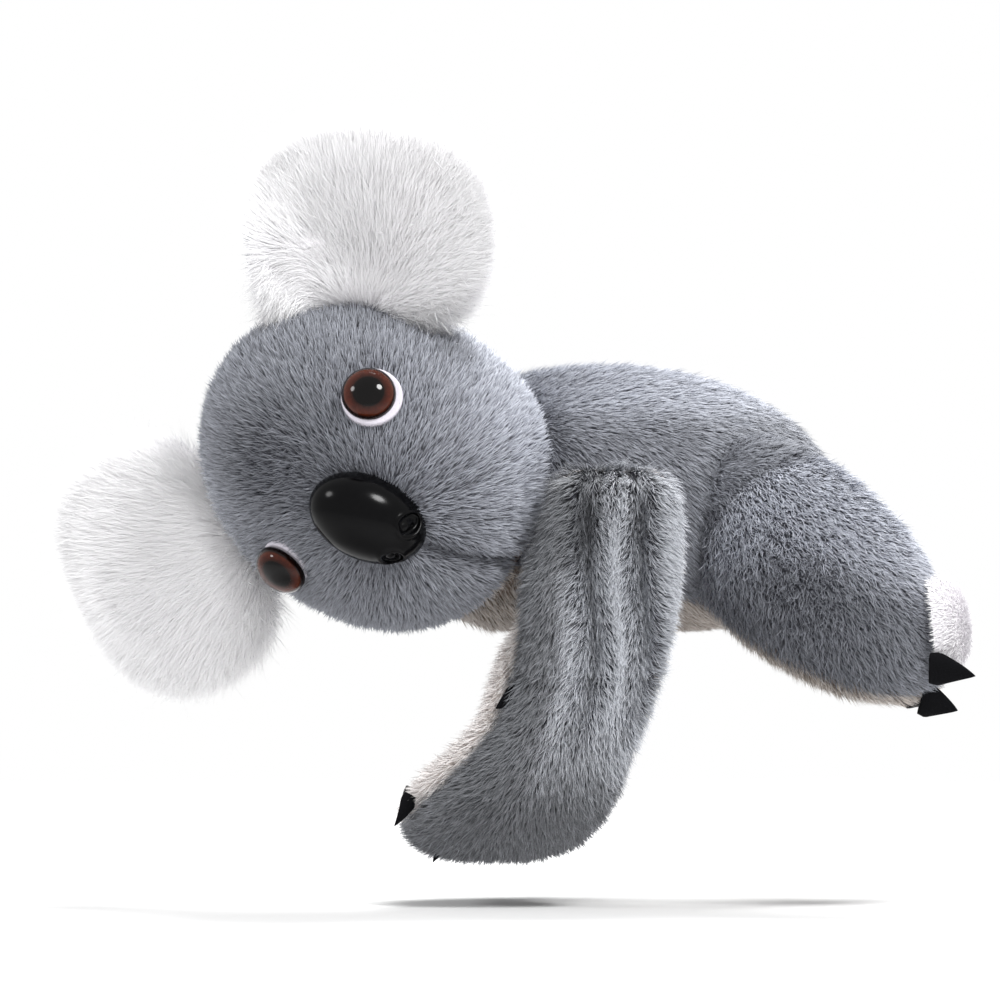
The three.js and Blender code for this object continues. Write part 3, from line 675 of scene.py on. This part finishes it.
# The fur pushes each ring a little to one side and covers its edge, and sinks the far one.
for side, sign, aside, depth, wide in (
    ("left", 1, (0.85, 0.0, -0.2), 0.0, 0.95),
    ("right", -1, (-0.48, 0.0, -0.24), 1.5, 0.81),
):
    place = on_head((math.cos(eye_angle), sign * math.sin(eye_angle), 0))
    shift = np.array(aside) @ place[:3, :3]
    ring_place = place @ np.array(Matrix.Translation((-depth, shift[1], shift[2])))
    eye = turned(f"{side}_eye_dome", dome_profile, place, eye_brown)
    radial_map(eye, place)
    profile = [(reach * wide, along) for reach, along in ring_profile]
    ring = turned(f"{side}_eye_felt", profile, ring_place, felt_white)
    settle(eye, f"{side}_eye")
    settle(ring, f"{side}_eye_ring")

# Nose
# One gloss black plastic oval with two moulded nostrils at its chin end, held like the eyes by a
# stem and washer through the cover.
nose_half = np.array([11.0, 11.75, 16.8])
nose_drop = 17.2
nose_place = on_head((head_half[0] * math.sqrt(1 - (nose_drop / head_half[2]) ** 2), 0, -nose_drop))
nose_black = mottled("nose_black", "020203", "060607", 500.0, 0.16, 0.09)
nose_way, nose_faces = ball(48)
nose_form = stuffed(nose_way, nose_half)


def from_nostril(sign, aside, below):
    return np.hypot(nose_form[:, 1] - sign * aside, (nose_form[:, 2] + below) * 0.9)


for sign in (1, -1):
    reach = from_nostril(sign, 5.5, 10.2)
    rim = 0.45 * bell(reach - 3.3, 0.6)
    pit = 2.3 * (1 - ramp(reach, 1.8, 3.0)) - 1.9 * (1 - ramp(from_nostril(sign, 4.7, 9.2), 0.6, 2.2))
    nose_form[:, 0] += np.where(nose_form[:, 0] > 2, rim - pit, 0)
nose_oval = mesh_object("nose_oval", placed(nose_place, nose_form), nose_faces, nose_black)
settle(nose_oval, "nose")

# Body
# An egg of the same grey plush, stuffed softer than the head, with a cream belly panel that is flat
# below. Front and back panels meet in a seam that pulls the flanks in a little.
belly_level = 25.0
seam_tilt = math.radians(10)
belly_seam = np.array([math.sin(seam_tilt), 0.0, math.cos(seam_tilt)])
belly_seam_offset = 40.0 * math.cos(seam_tilt)
soft_inset = 2.2
towards_rump = unit(body_place[:3, 3] - head_place[:3, 3])


def body_form():
    way, faces = ball(44)
    form = stuffed(way, body_half, soft_inset)
    form[:, 1] *= 1 - 0.3 * ramp(-way[:, 0], 0.15, 0.5)
    points = pinched(placed(body_place, form), body_place[:3, 3], belly_seam, belly_seam_offset, 0.03, 1.6)
    points[:, 2] = np.maximum(points[:, 2], belly_level + soft_inset - 1.5)
    return pushed_out(points, head_place, head_half - plush_inset, 0.4, towards_rump), faces


def body_nap(cover):
    points = millimetres(cover)
    way = unit((points - body_place[:3, 3]) / body_half)
    comb = np.zeros_like(points) + np.array([1.0, 0.0, -0.25])
    comb[:, 2] -= 0.7 * ramp(-way[:, 2], -0.75, -0.35)
    # Under the upper pad of each arm the pile is pressed flat, and inside the other pieces none grows.
    pressed = (np.abs(points[:, 0] - 6) < 17) & (np.abs(points[:, 1]) > 20) & (points[:, 2] < 66)
    pile = 1 - 0.35 * pressed
    for place, half, margin in (*leg_eggs, (head_place, head_half, -1.8)):
        pile *= ~inside(points, place, half, margin)
    pile = np.where(points[:, 2] < belly_level + 1.5, 0.55 * (pile > 0), pile)
    # Painted light and shade: lighter on the top of the body and darker at its bottom.
    tone = 1.0 * ramp(way[:, 2], 0.5, 0.85) - 0.4 - 0.8 * ramp(-points[:, 2], -44, -34)
    set_nap(cover, pile, comb, 1.0 + 0.3 * pressed, tone)


# Hind legs
# Two stuffed legs sewn to the hips and stretched out behind, grey outside with a cream inner
# panel. Each ends in a flat sole with a white pad and three black felt claws.
leg_drop = math.radians(38)
leg_splay = math.radians(20.5)
leg_half = np.array([47.0, 19.0, 27.0])
leg_centre = np.array([66.0, -30.0, 40.5])


def framed(x, y, z, origin):
    """A frame from its three axes and its origin."""
    place = np.eye(4)
    place[:3] = np.stack([x, y, z, origin], 1)
    return place


leg_level = math.cos(leg_drop)
leg_axis = np.array([leg_level * math.cos(leg_splay), -leg_level * math.sin(leg_splay), -math.sin(leg_drop)])
leg_side = unit(np.cross((0, 0, 1), leg_axis))
leg_place = framed(leg_axis, leg_side, np.cross(leg_axis, leg_side), leg_centre)
sole_lean = math.radians(6)
sole_normal = np.array([math.cos(sole_lean), 0.0, math.sin(sole_lean)])
sole_point = np.array([leg_centre[0] + leg_half[0] * leg_place[0, 0] - 2.2, -42.0, 24.0])
sole_place = facing(sole_normal, sole_point)
pad_half = np.array([9.5, 14.5, 18.0])
pad_shown = np.array([9.5, 14.5, 13.75])
pad_lift = 2.25
leg_seam = unit(np.array([0.0, 0.75, -0.66]))
leg_seam_offset = leg_seam @ leg_centre + 11.5
mirror = np.diag([1.0, -1.0, 1.0, 1.0])
leg_core = leg_half * np.array([1.0, 0.9, 0.9])
leg_eggs = [(place, leg_core, -8.0) for place in (leg_place, mirror @ leg_place @ mirror)]

body_points, body_faces = body_form()
body_skin = mesh_object("body_skin", body_points, body_faces, grey_knit)
belly_skin = twin(body_skin, "belly_skin", cream_knit)
cut_open(body_skin, -belly_seam, -belly_seam_offset)
cut_open(belly_skin, belly_seam, belly_seam_offset)
body_nap(body_skin)
body_nap(belly_skin)
dress(body_skin, grey_pile, 20, ("body_back", "body_stuffing"), "plush", 0.85, fibres=4.4, length=4.8,
      width=0.27, stray=0.14, clump=0.6, shade_spread=0.5)
dress(belly_skin, cream_pile, 21, ("belly_panel",), "inner_plush", 0.85, fibres=3.0, length=4.5)


def leg_form():
    way, faces = ball(36)
    points = placed(leg_place, stuffed(way, leg_half, soft_inset, 0.8, 0.12))
    past = np.maximum(points @ sole_normal - (sole_point @ sole_normal - 1.0), 0)
    points -= past[:, None] * sole_normal
    points = pinched(points, leg_centre, leg_seam, leg_seam_offset, 0.04, 1.5)
    away = unit(leg_centre - body_place[:3, 3])
    return pushed_out(points, body_place, body_half - soft_inset, 0.3, away), faces


def leg_nap(cover):
    points = millimetres(cover)
    spots = local(leg_place, points)
    sole = local(sole_place, points)
    rim = ramp(sole[:, 0], -8, -2)
    middle = np.exp(-((spots[:, 0] - 2) / 22) ** 2 - ((spots[:, 2] + 2) / 14) ** 2) * (spots[:, 1] < 0)
    from_hip = np.hypot(points[:, 0] - leg_centre[0], points[:, 2] - leg_centre[2])
    above = ramp(from_hip, 31.5, 35.0)
    fold = bell(from_hip - 32.0, 1.6) * ramp(points[:, 2], 36, 46)
    comb = unit(leg_place[:3, 0] + np.array([0.0, 0.0, -0.2]) + 2.0 * rim[:, None] * sole_normal)
    comb = comb + above[:, None] * (np.array([1.0, 0.0, -0.4]) - comb)
    lean = 0.8 - 0.5 * middle + 0.35 * rim
    lean = lean + above * (1.05 - lean)
    from_pad = np.hypot(sole[:, 1] / pad_shown[1], (sole[:, 2] - pad_lift) / pad_shown[2])
    hidden = inside(points, body_place, body_half, -2.0) | (from_pad < 0.7) & (sole[:, 0] > -1.05)
    # Painted shade: darker in the middle, where the fur stands up, towards the bottom and in the fold at the
    # hip.
    tone = 0.9 - 1.0 * middle - 1.9 * ramp(-points[:, 2], -52, -18)
    set_nap(cover, (1.0 - 0.4 * fold) * ~hidden, comb, lean, tone - above * (tone + 0.4) - 1.2 * fold)


def mirrored(piece):
    """Turns a finished left piece into a right one, with its nap."""
    piece.data.transform(Matrix.Diagonal((1, -1, 1, 1)))
    piece.data.flip_normals()
    if "comb" in piece.data.attributes:
        combs = piece.data.attributes["comb"].data
        way = np.empty(len(combs) * 3, np.float32)
        combs.foreach_get("vector", way)
        way[1::3] *= -1
        combs.foreach_set("vector", way)


leg_points, leg_faces = leg_form()
for side, seed in (("left", 30), ("right", 34)):
    outer = mesh_object(f"{side}_leg_outer_skin", leg_points, leg_faces, grey_knit)
    inner = twin(outer, f"{side}_leg_inner_skin", cream_knit)
    for cover, sign in ((outer, 1), (inner, -1)):
        cut_open(cover, sign * leg_seam, sign * leg_seam_offset)
        leg_nap(cover)
        if side == "right":
            mirrored(cover)
    dress(outer, grey_pile, seed, (f"{side}_leg_outer", f"{side}_leg_stuffing"), "plush", fibres=5.0,
          length=5.0, width=0.27, stray=0.28, clump=1.1, clump_size=2.2)
    dress(inner, cream_pile, seed + 1, (f"{side}_leg_inner",), "inner_plush", fibres=3.0, length=4.8)

# Foot pads
# A low cushion of short white plush on each sole, sewn on over its own round seam.
foot_knit = knit_with_painted_shade("foot_knit", "d9d5d9", "f4f2f5")
foot_pile = pile_material("foot_pile", "e2dfe3", "f5f3f6", "fefefe", 0.94)
pad_way, pad_faces = ball(20)
pad_form = stuffed(pad_way, pad_shown - 0.7, 0.0, 0.8)
pad_form[:, 2] += pad_lift
pad_form[:, 0] = np.maximum(pad_form[:, 0], -1.2)
pad_points = placed(sole_place, pad_form)

for side in ("left", "right"):
    pad = mesh_object(f"{side}_foot_skin", pad_points, pad_faces, foot_knit)
    spots = local(sole_place, pad_points)
    comb = unit((spots - (0.0, 0.0, pad_lift)) * np.array([0.0, 1.0, 1.0]))
    comb[:, 0] = -2.0 * (1 - ramp(spots[:, 0], 0.5, 5.0))
    set_nap(pad, spots[:, 0] >= -1.0, comb @ sole_place[:3, :3].T, 0.9)
    if side == "right":
        mirrored(pad)
    dress(pad, foot_pile, 40, (f"{side}_leg_foot_pad",), "foot_pile", fibres=7.0, length=2.6, width=0.24,
          stray=0.25, clump=0.5)

# Claws
# Stiff black felt points, cut flat, folded to a slight ridge and sewn in at the edge of each sole
# and paw, three to each.
claw_root = -2.0
claw_droop = 0.02
claw_felt = mottled("claw_felt", "020203", "101013", 2600.0, 0.95, 0.1, relief=(0.4, 0.0003, 3000.0))


def make_claw(name, place, length, width, node, body="torso"):
    """A felt point along X with its broad faces up and down."""
    rows, sides = 12, 20
    rings = []
    for row in range(rows):
        share = row / (rows - 1)
        along = claw_root + (length + 1.6) * share
        half = width / 2 * (1 - max(along, 0) / length) ** 0.85 * (0.85 + 0.15 * min(1, share * 4))
        half = max(half, 0.12)
        thick = 0.34 * half + 0.5 * (1 - share) + 0.12
        ring = []
        for a in np.linspace(0, 2 * math.pi, sides, endpoint=False):
            across = np.sign(math.cos(a)) * abs(math.cos(a)) ** 0.7 * half
            up = math.sin(a) * thick + 0.18 * half * (1 - abs(across) / half) - claw_droop * along ** 2
            ring.append((along, across, up))
        rings.append(ring)
    claw = tube(name, rings, (claw_root, 0, 0), (length, 0, -claw_droop * length ** 2), place, claw_felt)
    if name.startswith("right"):
        mirrored(claw)
    settle(claw, node, body)


for side in ("left", "right"):
    # Each claw's turn round the sole, how deep it is sewn in, and its length.
    for number, (angle, back, length) in enumerate(((-60, 4.0, 11.0), (0, 6.5, 8.5), (60, 4.0, 11.0)), 1):
        turn = math.radians(angle)
        down, aside = -math.cos(turn), -math.sin(turn)
        base = np.array([2.5 - back, aside * (pad_half[1] + 0.6), down * (pad_half[2] - 0.3)])
        aim = unit(np.array([0.95, aside * 0.2, down * 0.35]))
        broad = np.array([0.0, 0.9, 0.45])
        flat = unit(broad - aim * (aim @ broad))
        place = sole_place @ framed(aim, np.cross(flat, aim), flat, base)
        make_claw(f"{side}_foot_point_{number}", place, length, 10.5, f"{side}_leg_claw_{number}")

# Arms
# Two flat padded arms, sewn to the shoulders along a gathered seam and closed in a ring below the
# belly. Grey plush covers the outside, cream plush lines the palm, and two rows of stitching hold
# the spring strip between them, so that each arm has three soft ridges.
opening_half = np.array([29.0, 25.0])
shoulder_height = 69.0
arm_thickness = 16.0
tip_angle = math.radians(90) - math.asin(2.4 / 58)
stitch_rows = (-7.0, 7.0)
crown_points = 64


def route(t):
    """The palm side's line round the opening, as Y and Z: down to its side from 0 to 1, under it to 2."""
    drop = np.clip(t, 0, 1)[:, None]
    corners = np.array([
        (-38.3, shoulder_height - 0.3), (-38.3, 0.63 * shoulder_height),
        (-opening_half[0], opening_half[1]), (-opening_half[0], 0.0),
    ])
    down = 0
    for i, corner in enumerate(corners):
        down = down + math.comb(3, i) * (1 - drop) ** (3 - i) * drop ** i * corner
    angle = tip_angle * (np.clip(t, 1, 2) - 1)
    under = np.stack([-opening_half[0] * np.cos(angle), -opening_half[1] * np.sin(angle)], 1)
    return np.where(t[:, None] <= 1, down, under)


def arm_line(t):
    t = np.asarray(t, float)
    along = unit(route(np.minimum(t + 0.01, 2)) - route(np.maximum(t - 0.01, 0)))
    root = np.minimum(t / 0.16, 1)
    tip = np.maximum((t - 1.74) / 0.26, 0)
    root_full = 0.4 + 0.6 * np.sqrt(1 - (1 - root) ** 2)
    tip_full = 0.5 + 0.5 * np.sqrt(np.maximum(1 - tip ** 2, 0))
    tucked = 8.5 * (1 - ramp(t, 0.05, 0.55))
    width = 45.0 - 5.0 * ramp(t, 0.3, 0.7) + 10.0 * ramp(t, 1.0, 1.6) - tucked
    return {
        "t": t, "point": route(t), "out": np.stack([along[:, 1], -along[:, 0]], 1),
        "shift": 6.0 - 31.0 * ramp(t, 0.5, 2.1) + tucked / 2,
        "overhang": 6.0 * ramp(t, 0.5, 0.8) - 1.0 - 4.0 * ramp(t, 1.4, 1.8),
        "half": width / 2 * tip_full * (0.45 + 0.55 * root_full),
        "thick": arm_thickness * root_full * (0.3 + 0.7 * tip_full),
        "valley": 5.0 * ramp(t, 0.0, 0.12) * (1 - 0.9 * ramp(t, 0.8, 1.25)),
        "stitch": 4.2 + 4.3 * ramp(t, 0.3, 0.95) - tucked / 2,
    }


def lofted(across, out, line):
    """Closed loft: across and out are arrays of station by point, set on the arm's line."""
    x = line["shift"][:, None] + across
    y, z = (line["point"][:, i, None] + line["out"][:, i, None] * out for i in (0, 1))
    rings = np.stack([x, y, z], -1)
    rows, count = across.shape
    points = np.concatenate([rings.reshape(-1, 3), [rings[0].mean(0)], [rings[-1].mean(0)]])
    last = (rows - 1) * count
    pairs = [(i, (i + 1) % count) for i in range(count)]
    faces, caps = [], []
    for low in range(0, last, count):
        faces += [(low + i, low + n, low + count + n, low + count + i) for i, n in pairs]
    for i, n in pairs:
        caps += [(i, rows * count, n), (last + n, rows * count + 1, last + i)]
    return points, faces, caps


def blunt(value, power):
    """A sine or cosine raised to a power with its sign kept, which squares off a round."""
    return np.sign(value) * np.abs(value) ** power


def cover_outline(line):
    """The grey pad: a blunt crown with two stitched valleys on a narrow flat underside."""
    angle = np.linspace(0, math.pi, crown_points)
    half = line["half"][:, None] - 1.6
    w = half * blunt(np.cos(angle), 2 / 2.6)
    crown = blunt(np.sin(angle), 2 / 2.6)
    low = np.minimum(4.3, line["thick"] * 0.5)[:, None]
    high = line["thick"][:, None] - 2.0
    dip = sum(bell(w - line["stitch"][:, None] - aside, 2.3) for aside in stitch_rows)
    gather = 0.9 * np.cos(w * 1.15) * bell(line["t"][:, None], 0.12)
    dip = line["valley"][:, None] * dip - gather
    out = low + 1 + (high - low - 1) * crown - dip * ramp(crown, 0.2, 0.9)
    under = np.linspace(-1, 1, 8)[None, :] * half
    return np.concatenate([w, under], 1), np.concatenate([out, np.broadcast_to(low, under.shape)], 1)


def lining_outline(line):
    """The cream palm: a thin cushion whose edge shows past the cover on the head's side."""
    angle = np.linspace(0, 2 * math.pi, 48, endpoint=False)
    depth = np.minimum(4.0, line["thick"] * 0.5 - 0.3)[:, None]
    low_edge = (-line["half"] - line["overhang"] + 1.0)[:, None]
    high_edge = (line["half"] - 1.8)[:, None]
    w = (low_edge + high_edge) / 2 + (high_edge - low_edge) / 2 * blunt(np.cos(angle), 0.25)
    return w, depth / 2 * (1 + 0.92 * blunt(np.sin(angle), 0.6)) + 0.4


def arm_nap(cover, line, w, grey):
    """Nap of an arm piece: down the arm, away from each stitched valley, and fanned out at the paw."""
    t, half, stitch = (np.repeat(line[name], w.shape[1]) for name in ("t", "half", "stitch"))
    out = np.repeat(line["out"], w.shape[1], 0)
    share = w.ravel() / half
    sideways = groove = 0
    for aside in stitch_rows:
        off = w.ravel() - stitch - aside
        groove = groove + bell(off, 2.0)
        sideways = sideways + np.tanh(off / 1.5) * bell(off, 5.0)
    parted = (0.15 + 0.85 * ramp(t, 0.03, 0.18)) * (1 - ramp(t, 0.85, 1.2))
    fan = ramp(t, 0.7, 1.3) * ramp(-share, -0.3, 0.9)
    down = 0.45 + 0.75 * ramp(t, 0.5, 1.1)
    sideways = sideways * 1.5 * parted + 0.7 * share ** 3 - 1.6 * fan
    comb = np.stack([sideways, -out[:, 1] * down, out[:, 0] * down], 1)
    # The tone is painted light and shade: lighter along the upper arm and on its outer ridge, darker down at
    # the paw, on the side under the head and in the stitched valleys.
    pile, lean, tone = np.ones(len(t)), 0.95, 0.9 * ramp(t, 0.0, 0.4) - 0.9 * ramp(t, 0.7, 1.2)
    under_head = ramp(-share, 0.1, 0.65) * (1 - ramp(t, 1.2, 1.5))
    outer_ridge = ramp(share, 0.45, 0.8) * (1 - ramp(t, 1.1, 1.5))
    tone = tone - 0.6 * ramp(t, 1.1, 1.4) - 1.5 * under_head + 0.45 * outer_ridge - 0.9 * parted * groove
    if not grey:
        pile, lean, tone = 0.4 + 0.6 * ramp(t, 0.1, 0.3), 0.75, np.zeros(len(t))
    # The middle of each closed end lies like the first or the last point.
    like = np.append(np.arange(len(t)), (0, len(t) - 1))
    set_nap(cover, pile[like], comb[like], lean, tone[like])


lining_knit = knit_with_painted_shade("lining_knit", "b3a9a3", "d3cbc6")
lining_pile = pile_material("lining_pile", "c8beb9", "ece6e4", "faf8f7", 0.85)
# The arm's knit and the roots of its fibres are darker than the head's and body's: painted shade in the gaps
# between the fibres.
arm_knit = knit_with_painted_shade("arm_knit", "38383d", "5a5b63")
grey_arm_pile = pile_material("grey_arm_pile", "36353a", "94979d", "dfe2e9", 0.35)
elbow, paw_fold = (1 + math.radians(a) / tip_angle for a in (12, 48))
stretches = [
    ("root", 0.0, 0.8, 22, None),
    ("elbow", 0.8, 1.34, 24, ("upper", "lower", elbow, -12.0, 7.0)),
    ("wrist", 1.34, 1.75, 18, ("lower", "paw", paw_fold, -7.0, 7.0)),
    ("tip", 1.75, 2.0, 18, None),
]
stands_for = {"root": "upper", "elbow": "lower", "tip": "paw"}
arm_kinds = (
    ("cover", cover_outline, arm_knit, grey_arm_pile, "plush", 6.0, 5.2),
    ("lining", lining_outline, lining_knit, lining_pile, "inner_plush", 4.0, 4.2),
)
arm_claws = (
    ("upper", 0.9, -0.93, 7.2, (-0.7, -0.4, -0.5), 6.0),
    ("paw", 1.56, -1.2, 5.0, (-0.35, -0.35, -0.9), 7.5),
    ("paw", 1.82, -0.62, 11.5, (-0.3, -0.1, -1), 5.5),
)

for side, sign in (("left", 1), ("right", -1)):
    arm = f"{side}_arm"
    for index, (part, start, end, rows, fold) in enumerate(stretches):
        ease = np.linspace(0, 1, rows + 1)
        line = arm_line(start + (end - start) * (np.sin(ease * math.pi / 2) if part == "tip" else ease))
        for kind, outline, knit, fur, slot, fibres, length in arm_kinds:
            grey = kind == "cover"
            w, out = outline(line)
            points, faces, caps = lofted(w, out, line)
            skin = mesh_object(f"{arm}_{part}_{kind}_skin", points, faces + caps, knit)
            # No pile grows on the cover's underside, nor on an end that meets another piece.
            bare = np.ones(len(faces) + len(caps), bool)
            bare[:len(faces)] = grey & (np.arange(len(faces)) % w.shape[1] >= crown_points)
            if part == "tip":
                bare[len(faces) + 1::2] = False
            if part == "root" and grey:
                bare[len(faces)::2] = False
            skin.data.attributes.new("bare", "BOOLEAN", "FACE").data.foreach_set("value", bare)
            arm_nap(skin, line, w, grey)
            if side == "right":
                mirrored(skin)
            pile = grow_pile(skin, f"{arm}_{part}_{kind}_pile", fur, 50 + 2 * index + grey + 10 * sign,
                             fibres=fibres, length=length, width=0.25, stray=0.3, clump=1.1, clump_size=2.0)
            for piece in (skin, pile):
                if fold:
                    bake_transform(piece)
                else:
                    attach(piece, f"{arm}_{'upper' if part == 'root' else 'paw'}")
            if part in stands_for:
                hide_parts(f"{arm}_{stands_for[part]}_{kind}")
    for number, (body, t, across, out, aim, length) in enumerate(arm_claws, 1):
        line = arm_line([t])
        height = line["point"][0] + line["out"][0] * out
        base = np.array([line["shift"][0] + across * line["half"][0], *height])
        place = facing(unit(np.array(aim, float)), base)
        make_claw(f"{arm}_point_{number}", place, length, 6.5, f"{arm}_claw_{number}", f"{arm}_{body}")

# Inside
# Steel strips in the arms and across the shoulders, and the lock washers behind the eyes and nose,
# keep their solids.
band_steel = mottled("band_steel", "9a9ea4", "c9cdd2", 400.0, 0.3, stretch=(1, 12, 12))
tree = band_steel.node_tree
put(tree, tree.nodes["Principled BSDF"], {"Metallic": 1.0})
washer_white = mottled("washer_white", "bdbdb8", "d2d2cd", 700.0, 0.4)
for name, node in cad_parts.items():
    for part, material in (("band", band_steel), ("washer", washer_white)):
        if part in name:
            node.data.materials.clear()
            node.data.materials.append(material)
bpy.data.objects.remove(fibre)

# Camera
# The view of the photograph: square on to the toy's near side from two metres away, with a long
# lens, a little above the middle of the opening.
camera_distance = 2.0
view_width = 0.28
lens = bpy.data.cameras.new("camera")
lens.sensor_width = 36.0
lens.lens = lens.sensor_width * camera_distance / view_width
camera = show("camera", lens)
camera.location = (-0.021, -camera_distance, 0.061)
camera.rotation_euler = (math.radians(90), 0, 0)
bpy.context.scene.camera = camera

# Floor and light
# A wide pale floor under soft studio light: a pale sky, a key lamp from the upper right and a
# weaker one from the upper left.
floor_mesh = bpy.data.meshes.new("floor")
floor_mesh.from_pydata([(-2, -2, 0), (2, -2, 0), (2, 2, 0), (-2, 2, 0)], [], [(0, 1, 2, 3)])
floor = show("floor", floor_mesh)
floor.location.z = -0.052
floor_material, tree, shader = new_material("floor", 1.0, 0.0)
spot = new_node(tree, "ShaderNodeTexCoord").outputs["Object"]
reach = new_node(tree, "ShaderNodeVectorMath", {0: spot}, operation="LENGTH").outputs["Value"]
faded = spread(tree, reach, 0.25, 0.9, 1.0, 0.0)
put(tree, shader, {"Base Color": (0.7, 0.7, 0.7, 1), "Alpha": faded})
floor_mesh.materials.append(floor_material)


def lamp(name, place, size, power):
    """A round lamp that shines on the toy's middle."""
    light = bpy.data.lights.new(name, "AREA")
    light.shape = "DISK"
    light.size = size
    light.energy = power
    stand = show(name, light)
    stand.location = place
    stand.rotation_euler = (Vector((0, 0, 0.06)) - Vector(place)).to_track_quat("-Z", "Y").to_euler()


lamp("key", (0.5, -0.7, 0.9), 0.32, 12.8)
lamp("fill", (-0.95, -0.5, 0.75), 0.3, 4.5)
lamp("top", (0.15, 0.4, 1.0), 0.6, 18.0)

world = bpy.data.worlds.new("world")
world.use_nodes = True
bpy.context.scene.world = world
tree = world.node_tree
rays = new_node(tree, "ShaderNodeLightPath").outputs
shown = rays["Is Camera Ray"]
for kind in ("Is Glossy Ray", "Is Transmission Ray"):
    shown = new_node(tree, "ShaderNodeMath", {0: shown, 1: rays[kind]}, operation="MAXIMUM").outputs[0]
strength = spread(tree, shown, 0.0, 1.0, 0.68, 1.0)
put(tree, tree.nodes["Background"], {"Color": (1, 1, 1, 1), "Strength": strength})

bpy.context.scene.view_settings.view_transform = "Standard"
